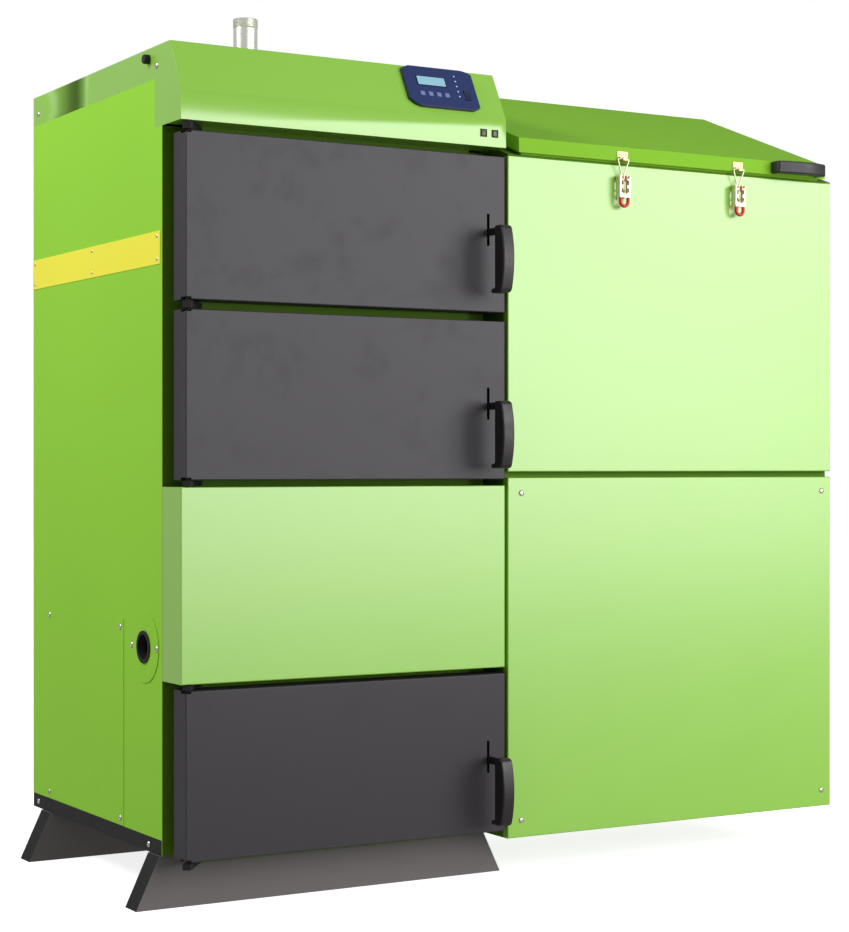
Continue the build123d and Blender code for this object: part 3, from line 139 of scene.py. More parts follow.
def soften(piece, width, segments=2):
    """Rounds the sharp edges of a piece, unless the width is 0, and shades it smooth up to an angle."""
    if width:
        modifier(
            piece, "BEVEL", width=width, segments=segments, limit_method="ANGLE",
            angle_limit=BEVEL_FROM, harden_normals=False, use_clamp_overlap=True,
        )
    only(piece)
    bpy.ops.object.shade_smooth_by_angle(angle=SMOOTH_TO)
    modifier(piece, "WEIGHTED_NORMAL", keep_sharp=True, weight=90)


def joined(pieces, name):
    """Joins finished pieces into one."""
    nothing()
    for piece in pieces:
        piece.select_set(True)
    bpy.context.view_layer.objects.active = pieces[0]
    if len(pieces) > 1:
        bpy.ops.object.join()
    pieces[0].name = name
    return pieces[0]


def dress(piece, name, body, look, stands_for=()):
    """Names a piece, gives it its material and body, and hides the CAD nodes that it stands for."""
    settle(piece)
    piece.name = name
    piece.data.materials.clear()
    piece.data.materials.append(look)
    if stands_for:
        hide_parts(*stands_for)
    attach(piece, body)
    return piece


def second_look(piece, look, test):
    """Gives the faces whose centre and normal pass a test another finish."""
    piece.data.materials.append(look)
    index = len(piece.data.materials) - 1
    for face in piece.data.polygons:
        if test(face.center, face.normal):
            face.material_index = index
    return piece


def islands(piece):
    """Lowest and highest corners of each loose part of a merged mesh."""
    points = piece.data.vertices
    root = list(range(len(points)))

    def top(k):
        while root[k] != k:
            root[k] = root[root[k]]
            k = root[k]
        return k

    for edge in piece.data.edges:
        one, two = (top(k) for k in edge.vertices)
        root[one] = two
    groups = {}
    for point in points:
        groups.setdefault(top(point.index), []).append(point.co)
    corners = []
    for group in groups.values():
        low = Vector([min(p[k] for p in group) for k in range(3)])
        high = Vector([max(p[k] for p in group) for k in range(3)])
        corners.append((low, high))
    return corners


def away(piece):
    """Removes a helper piece."""
    bpy.data.objects.remove(piece, do_unlink=True)


def cube(low, high):
    """A box between two corners, as a start for shaping."""
    nothing()
    low, high = Vector(low), Vector(high)
    bpy.ops.mesh.primitive_cube_add(size=1, location=(low + high) / 2)
    piece = bpy.context.object
    piece.scale = high - low
    settle(piece)
    return piece


def turned(profile, centre, axis, steps=32):
    """Spins a profile of (radius, height) points about an axis through a point."""
    nothing()
    bpy.ops.mesh.primitive_plane_add(size=0.01)
    piece = bpy.context.object
    piece.data.clear_geometry()
    points = [(radius, 0, height) for radius, height in profile]
    piece.data.from_pydata(points, [(k, k + 1) for k in range(len(points) - 1)], [])
    edit(piece, "EDGE")
    bpy.ops.object.mode_set(mode="EDIT")
    bpy.ops.mesh.select_all(action="SELECT")
    bpy.ops.mesh.spin(steps=steps, angle=2 * pi, center=(0, 0, 0), axis=(0, 0, 1))
    bpy.ops.mesh.select_all(action="SELECT")
    bpy.ops.mesh.remove_doubles(threshold=MERGE)
    bpy.ops.mesh.normals_make_consistent(inside=False)
    out_of_edit()
    turn = Vector((0, 0, 1)).rotation_difference(Vector(axis)).to_matrix().to_4x4()
    piece.matrix_world = Matrix.Translation(centre) @ turn
    settle(piece)
    return piece


def ring(points, radius):
    """A closed round cord along points, its corners rounded by a NURBS spline."""
    nothing()
    curve = bpy.data.curves.new("cord", "CURVE")
    curve.dimensions = "3D"
    curve.bevel_depth = radius
    curve.bevel_resolution = 4
    curve.resolution_u = 6
    curve.use_fill_caps = True
    line = curve.splines.new("NURBS")
    line.points.add(len(points) - 1)
    for place, point in zip(line.points, points):
        place.co = (*point, 1)
    line.order_u = 3
    line.use_cyclic_u = True
    line.use_endpoint_u = False
    piece = bpy.data.objects.new("cord", curve)
    bpy.context.collection.objects.link(piece)
    only(piece)
    bpy.ops.object.convert(target="MESH")
    piece = bpy.context.object
    only(piece)
    bpy.ops.object.shade_smooth()
    return piece


def node_copy(node):
    """A merged copy of a CAD node's mesh, with its flat faces whole again."""
    source = frame["nodes"][node]
    piece = bpy.data.objects.new(node + "_dressed", source.data.copy())
    bpy.context.collection.objects.link(piece)
    only(piece)
    bpy.ops.object.mode_set(mode="EDIT")
    bpy.ops.mesh.select_all(action="SELECT")
    bpy.ops.mesh.remove_doubles(threshold=MERGE)
    bpy.ops.mesh.dissolve_limited(angle_limit=FLAT_WITHIN)
    out_of_edit()
    return piece


def soft_node(node, look, width=THIN_EDGE, segments=2):
    """Replaces a CAD node by its own shape with softened edges."""
    piece = node_copy(node)
    soften(piece, width, segments)
    return dress(piece, f"{node}_sheet", body_of_node(node), look, (node,))


def paint_node(node, look):
    """Gives a CAD node that stays as it is a better material."""
    shown = frame["nodes"][node]
    if not shown.material_slots:
        shown.data.materials.append(look)
    for place in shown.material_slots:
        place.link = "OBJECT"
        place.material = look


# Shader sums and finishes

class Level:
    """A socket of numbers. Arithmetic on it adds Math nodes."""

    def __init__(self, tree, socket):
        self.tree = tree
        self.socket = socket

    def _sum(self, operation, first, second):
        made = self.tree.nodes.new("ShaderNodeMath")
        made.operation = operation
        for place, value in zip(made.inputs, (first, second)):
            if isinstance(value, Level):
                self.tree.links.new(value.socket, place)
            else:
                place.default_value = value
        return Level(self.tree, made.outputs[0])

    def __add__(self, other):
        return self._sum("ADD", self, other)

    __radd__ = __add__

    def __sub__(self, other):
        return self._sum("SUBTRACT", self, other)

    def __mul__(self, other):
        return self._sum("MULTIPLY", self, other)

    def __gt__(self, other):
        return self._sum("GREATER_THAN", self, other)

    def wave(self):
        """Its sine."""
        return self._sum("SINE", self, 0.0)


class Finish:
    """One material: a principled shader, and the nodes that vary it over a surface."""

    def __init__(self, name, colour, roughness, metallic=0.0, coat=0.0, coat_roughness=0.1, ior=1.5):
        self.material = bpy.data.materials.new(name)
        self.material.use_nodes = True
        self.tree = self.material.node_tree
        self.shader = self.tree.nodes["Principled BSDF"]
        inputs = self.shader.inputs
        inputs["Base Color"].default_value = full(colour)
        inputs["Roughness"].default_value = roughness
        inputs["Metallic"].default_value = metallic
        inputs["Coat Weight"].default_value = coat
        inputs["Coat Roughness"].default_value = coat_roughness
        inputs["IOR"].default_value = ior
        self.material.diffuse_color = full(colour)

    def node(self, kind, settings=(), inputs=(), output=0):
        """Adds a node, sets it, fills its sockets and returns one of its outputs."""
        made = self.tree.nodes.new(kind)
        for key, value in dict(settings).items():
            setattr(made, key, value)
        for key, value in dict(inputs).items():
            place = made.inputs[key]
            if isinstance(value, Level):
                self.tree.links.new(value.socket, place)
            else:
                place.default_value = value
        return Level(self.tree, made.outputs[output])

    def place(self, stretch=(1, 1, 1)):
        """The object's own coordinates, stretched."""
        here = self.node("ShaderNodeTexCoord", output=3)
        return self.node("ShaderNodeMapping", inputs={"Vector": here, "Scale": stretch})

    def along(self, axis):
        """One of the object's own coordinates, in metres."""
        return self.node("ShaderNodeSeparateXYZ", inputs={0: self.place()}, output=axis)

    def noise(self, scale, detail=2.0, stretch=(1, 1, 1), rough=0.5):
        """Cloudy noise with a number of lumps to the metre."""
        return self.node(
            "ShaderNodeTexNoise",
            inputs={"Vector": self.place(stretch), "Scale": scale, "Detail": detail, "Roughness": rough},
        )

    def cells(self, scale):
        """Distance to the nearest of scattered points."""
        return self.node("ShaderNodeTexVoronoi", inputs={"Vector": self.place(), "Scale": scale})

    def step(self, value, low, high):
        """Maps a range of a value onto 0 to 1, kept inside it."""
        return self.node(
            "ShaderNodeMapRange", {"clamp": True}, {0: value, 1: low, 2: high, 3: 0.0, 4: 1.0},
        )

    def blend(self, share, first, second):
        """A colour between two, by a share from 0 to 1."""
        return self.node(
            "ShaderNodeMix", {"data_type": "RGBA"},
            {0: share, 6: full(first), 7: full(second)}, output=2,
        )

    def tint(self, colour):
        """Drives the base colour."""
        self.tree.links.new(colour.socket, self.shader.inputs["Base Color"])
        return self

    def polish(self, value):
        """Drives the roughness."""
        self.tree.links.new(value.socket, self.shader.inputs["Roughness"])
        return self

    def relief(self, height, strength, depth):
        """Drives the normal through a bump of a depth in metres."""
        bump = self.node(
            "ShaderNodeBump", inputs={"Strength": strength, "Distance": depth, "Height": height}
        )
        self.tree.links.new(bump.socket, self.shader.inputs["Normal"])
        return self


def full(colour):
    """A colour with its alpha, or a colour socket as it is."""
    return colour if isinstance(colour, Level) else (*tuple(colour)[:3], 1.0)


def srgb(red, green, blue):
    """A linear colour from 0 to 255 screen values."""
    return tuple((v / 255) ** 2.2 for v in (red, green, blue))


def shade(colour, factor):
    """A darker or lighter version of a colour."""
    return tuple(min(1.0, v * factor) for v in colour[:3])


def powder_coat(name, colour, roughness=0.42, coat=0.15, dust=0.35, ior=1.45):
    """Powder coat: fine orange peel, faint clouds in the colour, dust and rub marks."""
    finish = Finish(name, colour, roughness, coat=coat, coat_roughness=0.28, ior=ior)
    clouds = finish.noise(2.2, 3)
    specks = finish.noise(900, 2)
    rub = finish.step(finish.noise(14, 6, rough=0.65), 0.52, 0.78)
    colour_now = finish.blend(clouds, shade(colour, 0.94), shade(colour, 1.05))
    colour_now = finish.blend(specks * 0.12, colour_now, shade(colour, 1.25))
    finish.tint(colour_now)
    finish.polish(roughness - 0.05 + clouds * 0.07 + rub * dust * 0.2 + specks * 0.04)
    peel = finish.noise(620, 1.5)
    finish.relief(peel * 0.7 + specks * 0.3, 0.16, 0.00012)
    return finish.material


def rolled_steel(name, colour, roughness=0.38, stretch=(1, 1, 40), soot=None, metallic=0.9):
    """Rolled or brushed steel: fine lines one way, stains and dull patches."""
    finish = Finish(name, colour, roughness, metallic=metallic)
    lines = finish.noise(60, 4, stretch)
    stains = finish.step(finish.noise(9, 5, rough=0.6), 0.45, 0.75)
    base = finish.blend(lines, shade(colour, 0.82), shade(colour, 1.1))
    dark = soot if soot else shade(colour, 0.6)
    finish.tint(finish.blend(stains * 0.5, base, dark))
    finish.polish(roughness + lines * 0.12 + stains * 0.15)
    finish.relief(lines, 0.12, 0.0002)
    return finish.material


def zinc_plate(name, colour, roughness=0.26, metallic=1.0):
    """Bright zinc plate: cloudy sheen, small pits."""
    finish = Finish(name, colour, roughness, metallic=metallic)
    haze = finish.noise(160, 4)
    pits = finish.step(finish.cells(700), 0.0, 0.25)
    finish.tint(finish.blend(haze, shade(colour, 0.8), shade(colour, 1.12)))
    finish.polish(roughness - 0.06 + haze * 0.16)
    finish.relief(pits, 0.1, 0.00008)
    return finish.material


def grained_plastic(name, colour, roughness, grain=1100.0):
    """Moulded plastic: fine grain and shine where it is held."""
    finish = Finish(name, colour, roughness)
    leather = finish.cells(grain)
    worn = finish.step(finish.noise(40, 4), 0.4, 0.7)
    finish.tint(finish.blend(worn, shade(colour, 0.85), shade(colour, 1.5)))
    finish.polish(roughness + leather * 0.1 - worn * 0.12)
    finish.relief(leather, 0.35, 0.00015)
    return finish.material


def cast_metal(name, colour):
    """Rough sand-cast iron with rust in its pits."""
    finish = Finish(name, colour, 0.75, metallic=0.6)
    sand = finish.noise(420, 5, rough=0.7)
    rust = finish.step(finish.noise(30, 6), 0.5, 0.72)
    finish.tint(finish.blend(rust * 0.6, shade(colour, 1.1), srgb(108, 62, 38)))
    finish.polish(0.6 + sand * 0.3)
    finish.relief(sand, 0.5, 0.0006)
    return finish.material


def spangled(name, colour):
    """Galvanised sheet with its spangle."""
    finish = Finish(name, colour, 0.36, metallic=0.95)
    crystal = finish.cells(110)
    haze = finish.noise(30, 4)
    finish.tint(finish.blend(crystal, shade(colour, 1.1), shade(colour, 0.72)))
    finish.polish(0.26 + crystal * 0.25 + haze * 0.1)
    finish.relief(crystal, 0.06, 0.0001)
    return finish.material


def fibre(name, colour):
    """Pressed mineral fibre."""
    finish = Finish(name, colour, 0.95)
    strands = finish.noise(500, 5, (1, 6, 1), 0.7)
    lumps = finish.noise(60, 3)
    finish.tint(finish.blend(lumps, shade(colour, 0.75), shade(colour, 1.15)))
    finish.polish(0.85 + strands * 0.14)
    finish.relief(strands * 0.7 + lumps * 0.3, 0.8, 0.0008)
    return finish.material


def plaited(name, colour):
    """Plaited glass rope, its strands crossing at a slant."""
    finish = Finish(name, colour, 0.85)
    x, y, z = (finish.along(k) for k in range(3))
    one = ((x + z) * 900 + y * 420).wave()
    two = ((x - z) * 900 - y * 420).wave()
    strand = (one * two) * 0.5 + 0.5
    # The rope is painted darker, down to 0.55, between the strands: painted shade in the grooves of the
    # plait.
    finish.tint(finish.blend(strand, shade(colour, 0.55), colour))
    finish.polish(0.8 + finish.noise(300) * 0.15)
    finish.relief(strand, 0.9, 0.0012)
    return finish.material


def smooth_plastic(name, colour, roughness=0.3, coat=0.2):
    """Glossy plastic with fine dust and a faint haze."""
    finish = Finish(name, colour, roughness, coat=coat, coat_roughness=0.12)
    haze = finish.noise(90, 4)
    dust = finish.step(finish.noise(1500, 2), 0.6, 0.8)
    finish.tint(finish.blend(haze, shade(colour, 0.9), shade(colour, 1.12)))
    finish.polish(roughness + haze * 0.06 + dust * 0.08)
    finish.relief(haze, 0.05, 0.0002)
    return finish.material


def display_glass(name, colour):
    """Pale liquid crystal window, lit faintly from behind, with its dot rows."""
    finish = Finish(name, colour, 0.16, coat=0.6, coat_roughness=0.05)
    rows = finish.along(0) * 5200
    columns = (finish.along(2) - finish.along(1)) * 5200
    dots = ((rows.wave() * columns.wave()) > 0.2) * 0.12
    shadow = finish.noise(80, 2)
    finish.tint(finish.blend(dots + shadow * 0.15, shade(colour, 1.05), shade(colour, 0.6)))
    finish.shader.inputs["Emission Color"].default_value = full(colour)
    finish.shader.inputs["Emission Strength"].default_value = 0.08
    finish.polish(0.12 + shadow * 0.08)
    finish.relief(dots, 0.1, 0.0001)
    return finish.material


def lamp_lens(name, colour, glow):
    """Small lens of an indicator lamp."""
    finish = Finish(name, colour, 0.2, coat=0.5)
    ring = finish.noise(2500, 2)
    finish.tint(finish.blend(ring, shade(colour, 0.8), shade(colour, 1.2)))
    finish.shader.inputs["Emission Color"].default_value = full(colour)
    finish.shader.inputs["Emission Strength"].default_value = glow
    finish.polish(0.15 + ring * 0.1)
    return finish.material


def soft_rubber(name, colour):
    """Matt rubber with bloom."""
    finish = Finish(name, colour, 0.7)
    bloom = finish.noise(70, 5)
    grit = finish.noise(1400, 2)
    finish.tint(finish.blend(bloom, shade(colour, 0.8), shade(colour, 1.8)))
    finish.polish(0.62 + bloom * 0.15 + grit * 0.08)
    finish.relief(grit, 0.25, 0.0001)
    return finish.material


# User settings

class BoilerPaint(bpy.types.PropertyGroup):
    """Colours a user would change."""

    green: bpy.props.FloatVectorProperty(
        name="Jacket green", description="Paint of the side panels, covers and hopper",
        subtype="COLOR", size=3, default=srgb(144, 207, 58), min=0, max=1,
    )
    grey: bpy.props.FloatVectorProperty(
        name="Door grey", description="Paint of the doors", subtype="COLOR", size=3,
        default=srgb(52, 49, 53), min=0, max=1,
    )
    strip: bpy.props.FloatVectorProperty(
        name="Side strip", description="Paint of the plain strip on the left side",
        subtype="COLOR", size=3, default=srgb(250, 242, 62), min=0, max=1,
    )
    panel: bpy.props.FloatVectorProperty(
        name="Control panel", description="Plastic of the control panel", subtype="COLOR",
        size=3, default=srgb(28, 46, 96), min=0, max=1,
    )
    handle: bpy.props.FloatVectorProperty(
        name="Grips", description="Plastic of the door and lid grips", subtype="COLOR",
        size=3, default=srgb(34, 30, 31), min=0, max=1,
    )
    latch_red: bpy.props.FloatVectorProperty(
        name="Latch grips", description="Dipped ends of the lid latches", subtype="COLOR",
        size=3, default=srgb(196, 26, 22), min=0, max=1,
    )


class BoilerSizes(bpy.types.PropertyGroup):
    """Sizes a user would change."""

    sheet_round: bpy.props.FloatProperty(
        name="Sheet bend", description="Outer rounding of folded sheet edges", unit="LENGTH",
        default=0.0011, min=0.0001, max=0.003,
    )
    thread_pitch: bpy.props.FloatProperty(
        name="Pipe thread", description="Pitch of the thread on the flow pipe", unit="LENGTH",
        default=0.0023, min=0.001, max=0.005,
    )


looks = {}


def make_looks(paint):
    """Makes every finish of the boiler."""
    green = tuple(paint.green)
    looks.update({
        "green": powder_coat("green_powder_coat", shade(green, 1.04), 0.5, 0.0, 0.35, 1.28),
        # A glossier copy of the jacket green at 0.9 of its brightness: the gloss is the coat, the darker
        # colour is painted shade.
        "green_gloss_painted_shade": powder_coat("green_gloss_painted_shade_coat", shade(green, 0.9), 0.34, 1.0, 0.2, 1.75),
        # The jacket green at 0.8 of its brightness, with a rougher coat: painted shade on the lid.
        "green_lid_painted_shade": powder_coat("green_lid_painted_shade_coat", shade(green, 0.8), 0.55, 0.0, 0.3, 1.15),
        # The jacket green at 0.3 of its brightness: painted shade for the side flanges, the frame
        # between the doors and the hopper casing.
        "green_painted_shade": powder_coat("green_painted_shade_coat", shade(green, 0.3), 0.6, 0.0, 0.3, 1.2),
        "grey": powder_coat("grey_powder_coat", tuple(paint.grey), 0.48, 0.1, 0.5, 1.42),
        "foot": powder_coat("foot_powder_coat", srgb(106, 100, 100), 0.55, 0.05, 0.6),
        # Dark grey, far darker than the foot grey: painted shade on the base rails and the feet's left
        # ends, plain dark paint on the hinge lugs.
        "rail": powder_coat("dark_grey_and_painted_shade_coat", srgb(40, 40, 40), 0.55, 0.0, 0.5, 1.3),
        "strip": powder_coat("strip_yellow_coat", tuple(paint.strip), 0.45, 0.1, 0.3),
        "plate": rolled_steel("body_plate", srgb(120, 116, 112), 0.5, soot=srgb(52, 48, 46)),
        "pipe": rolled_steel(
            "pipe_steel", srgb(236, 233, 230), 0.2, (40, 40, 1), srgb(120, 116, 112), 0.6
        ),
        "zinc": zinc_plate("zinc_plate", srgb(226, 218, 206)),
        "latch": zinc_plate("latch_plate", srgb(250, 238, 214), 0.3, 0.55),
        "blush": zinc_plate("catch_plate", srgb(226, 178, 142), 0.36, 0.5),
        "cast": cast_metal("burner_casting", srgb(70, 66, 64)),
        "galvanised": spangled("galvanised_sheet", srgb(186, 190, 194)),
        "wool": fibre("door_wool", srgb(206, 196, 160)),
        "rope": plaited("seal_rope", srgb(214, 208, 196)),
        "grip": grained_plastic("grip_plastic", tuple(paint.handle), 0.42),
        "lever": powder_coat("lever_black", srgb(30, 29, 30), 0.4, 0.2, 0.4),
        "panel": smooth_plastic("panel_plastic", tuple(paint.panel), 0.5, 0.0),
        "panel_edge": smooth_plastic("panel_rim_plastic", shade(tuple(paint.panel), 0.3), 0.4, 0.0),
        "display": display_glass("display_window", srgb(140, 190, 208)),
        "key": smooth_plastic("key_foil", srgb(112, 126, 176), 0.5, 0.0),
        "lamp": lamp_lens("lamp_lens", srgb(176, 190, 220), 0.15),
        "rocker": grained_plastic("rocker_plastic", srgb(24, 34, 60), 0.35, 1600),
        "button": grained_plastic("button_plastic", srgb(112, 111, 100), 0.5, 1500),
        "button_frame": grained_plastic("button_frame_plastic", srgb(84, 80, 68), 0.5, 1500),
        "rubber": soft_rubber("black_rubber", srgb(26, 26, 27)),
        "red": smooth_plastic("dipped_red", tuple(paint.latch_red), 0.34),
        "motor": powder_coat("motor_paint", srgb(46, 48, 52), 0.5, 0.1, 0.5),
        "fan": rolled_steel("fan_steel", srgb(176, 178, 180), 0.34, (30, 1, 30)),
    })


class Work(bpy.types.Operator):
    """Common parts of the boiler's operators."""

    bl_options = {"REGISTER", "UNDO"}

    def execute(self, context):
        """Makes the piece."""
        self.make(context)
        return {"FINISHED"}


class BOILER_OT_finishes(Work):
    """Makes the paint, metal, plastic and fibre finishes"""

    bl_idname = "boiler.finishes"
    bl_label = "Finishes"

    def make(self, context):
        make_looks(context.scene.boiler_paint)


class BOILER_OT_jacket(Work):
    """Softens and paints the jacket: cover, sides, rear, burner cover, rails and feet"""

    bl_idname = "boiler.jacket"
    bl_label = "Jacket"

    def make(self, context):
        width = context.scene.boiler_sizes.sheet_round
        for node in ("side_panel_left", "side_panel_right", "rear_panel"):
            panel = soft_node(node, looks["green"], min(width, THIN_EDGE))
            # Faces of the panels that point to the front, the flanges beside the doors, get the dark
            # green: painted shade.
            second_look(panel, looks["green_painted_shade"], lambda centre, normal: normal.y < -0.9)
        # The cover and the burner cover get the darker glossy copy of the jacket green: painted shade.
        soft_node("top_cover", looks["green_gloss_painted_shade"], min(width, THIN_EDGE))
        soft_node("burner_cover", looks["green_gloss_painted_shade"], width)
        soft_node("service_plate", looks["green"], FINE_EDGE)
        soft_node("blanking_disc", looks["green"], FINE_EDGE)
        soft_node("side_strip", looks["strip"], FINE_EDGE)
        # The base rails get the dark grey instead of the foot grey: painted shade.
        soft_node("base_rails", looks["rail"], 0.0005)
        feet = soft_node("feet", looks["foot"])
        # The feet's faces that point left get the dark grey: painted shade on that side.
        second_look(feet, looks["rail"], lambda centre, normal: normal.x < -0.5)
        # The frame seen in the gaps between the doors gets the dark green: painted shade.
        paint_node("front_frame", looks["green_painted_shade"])


class BOILER_OT_body(Work):
    """Gives the welded body and the burner their steel, iron and sheet finishes"""

    bl_idname = "boiler.body"
    bl_label = "Body and burner"

    def make(self, context):
        for node, look in (
            ("boiler_body", "plate"), ("retort", "cast"), ("air_box", "plate"),
            ("feeder_tube", "plate"), ("gear_motor", "motor"), ("fan_housing", "galvanised"),
            ("fan_impeller", "fan"), ("auger_screw", "plate"), ("ash_pan", "galvanised"),
            ("rear_pipes", "pipe"), ("flue_spigot", "plate"), ("hopper_funnel", "galvanised"),
            ("hopper_studs", "zinc"), ("lid_hinge", "zinc"), ("door_keepers", "zinc"),
            ("hinge_lugs", "rail"),
        ):
            paint_node(node, looks[look])


class BOILER_OT_doors(Work):
    """Softens and paints the doors, their linings, levers and grips"""

    bl_idname = "boiler.doors"
    bl_label = "Doors"

    def make(self, context):
        width = context.scene.boiler_sizes.sheet_round
        for k in (1, 2, 3):
            soft_node(f"door_{k}_skin", looks["grey"], min(width, THIN_EDGE))
            liner = node_copy(f"door_{k}_liner")
            parts = islands(liner)
            soften(liner, THIN_EDGE)
            dress(liner, f"door_{k}_lining", f"door_{k}", looks["wool"], (f"door_{k}_liner",))
            pad_back = min(parts, key=lambda part: part[0].y)[1].y - 0.0001
            second_look(liner, looks["plate"], lambda centre, normal: centre.y > pad_back)
            behind = [part for part in parts if part[0].y > pad_back]
            self.seal(k, max(behind, key=lambda part: part[1].z - part[0].z))
            soft_node(f"door_{k}_arm", looks["lever"], FINE_EDGE)
            soft_node(f"door_{k}_grip", looks["grip"], TINY_EDGE)

    def seal(self, k, rope):
        """The plaited rope seal round a door's shield, laid over its channel."""
        low, high = rope
        radius = (high.y - low.y) / 2 - TINY_EDGE
        middle = (low.y + high.y) / 2
        inset = radius + 0.0012
        straight = 0.02
        corners = [
            (low.x + inset, middle, low.z + inset), (high.x - inset, middle, low.z + inset),
            (high.x - inset, middle, high.z - inset), (low.x + inset, middle, high.z - inset),
        ]
        points = []
        for number, corner in enumerate(corners):
            corner = Vector(corner)
            back = Vector(corners[number - 1]) - corner
            ahead = Vector(corners[(number + 1) % 4]) - corner
            points += [
                corner + back.normalized() * straight, corner, corner + ahead.normalized() * straight,
            ]
        strand = ring(points, radius)
        dress(strand, f"door_{k}_rope", f"door_{k}", looks["rope"])


class BOILER_OT_hopper(Work):
    """Softens and paints the hopper's casing, front panels and lid"""

    bl_idname = "boiler.hopper"
    bl_label = "Hopper"

    def make(self, context):
        width = context.scene.boiler_sizes.sheet_round
        # The whole hopper casing gets the dark green: painted shade.
        paint_node("hopper_casing", looks["green_painted_shade"])
        # The front panels get the darker glossy copy of the jacket green: painted shade.
        soft_node("hopper_upper_panel", looks["green_gloss_painted_shade"], width)
        soft_node("hopper_lower_panel", looks["green_gloss_painted_shade"], width)
        # The lid gets the darker copy of the jacket green: painted shade.
        soft_node("hopper_lid", looks["green_lid_painted_shade"], 0.0005)
        soft_node("lid_handle", looks["grip"], TINY_EDGE)


class BOILER_OT_flow_pipe(Work):
    """Turns the flow pipe with its threaded end"""

    bl_idname = "boiler.flow_pipe"
    bl_label = "Flow pipe"

    def make(self, context):
        low, high = spot("flow_pipe")
        mount = next(m for m in frame["record"]["mounts"] if m["name"] == "flow_pipe")
        crest = mount["dims"]["r_mm"] * MM
        root = crest - 0.0013
        body = crest - 0.0007
        bore = body - 0.0031
        pitch = context.scene.boiler_sizes.thread_pitch
        threaded = 0.017
        top = high.z
        profile = [(bore, low.z), (body, low.z), (body, top - threaded - 0.001)]
        turns = int(threaded / pitch)
        start = top - turns * pitch
        for k in range(turns):
            z = start + k * pitch
            profile += [(root, z), (crest, z + pitch * 0.5), (root, z + pitch * 0.98)]
        profile += [(root, top - 0.0002), (bore + 0.0006, top), (bore, top - 0.0006), (bore, low.z)]
        centre = Vector(mount["pos_m"])
        pipe = turned(profile, (centre.x, centre.y, 0), (0, 0, 1), 64)
        soften(pipe, 0)
        dress(
            pipe, "flow_pipe_turned", body_of_node("flow_pipe"), looks["pipe"],
            ("flow_pipe",),
        )


class BOILER_OT_trim(Work):
    """Makes the screws, rivets, grommet and cap of the left side"""

    bl_idname = "boiler.trim"
    bl_label = "Trim"

    def make(self, context):
        soft_node("disc_grommet", looks["rubber"], 0.0005, 3)
        soft_node("skirt_cap", looks["rubber"], TINY_EDGE)
        self.heads("cover_screws", True)
        self.heads("strip_rivets", False)

    def heads(self, node, driven):
        """Domed heads where the CAD's fasteners are, with a round socket if they are driven."""
        helper = node_copy(node)
        places = islands(helper)
        away(helper)
        made = []
        for low, high in places:
            size = high - low
            front = abs(size.x - size.z) < abs(size.y - size.z)
            middle = (low + high) / 2
            radius = size.z / 2
            if front:
                axis, tip = (0, -1, 0), (middle.x, low.y, middle.z)
            else:
                axis, tip = (-1, 0, 0), (low.x, middle.y, middle.z)
            if driven:
                socket = radius * 0.42
                profile = [
                    (0, -0.0009), (socket * 0.9, -0.0009), (socket, -0.0001), (radius * 0.6, -0.0003),
                    (radius * 0.85, -0.0009), (radius, -0.0018), (radius, -0.0022),
                ]
            else:
                profile = [
                    (0, 0), (radius * 0.5, -0.00015), (radius * 0.85, -0.0005), (radius, -0.0009),
                    (radius, -0.0012),
                ]
            made.append(turned(profile, tip, axis, 24))
        row = joined(made, f"{node}_domed")
        soften(row, 0)
        dress(row, f"{node}_domed", body_of_node(node), looks["zinc"], (node,))


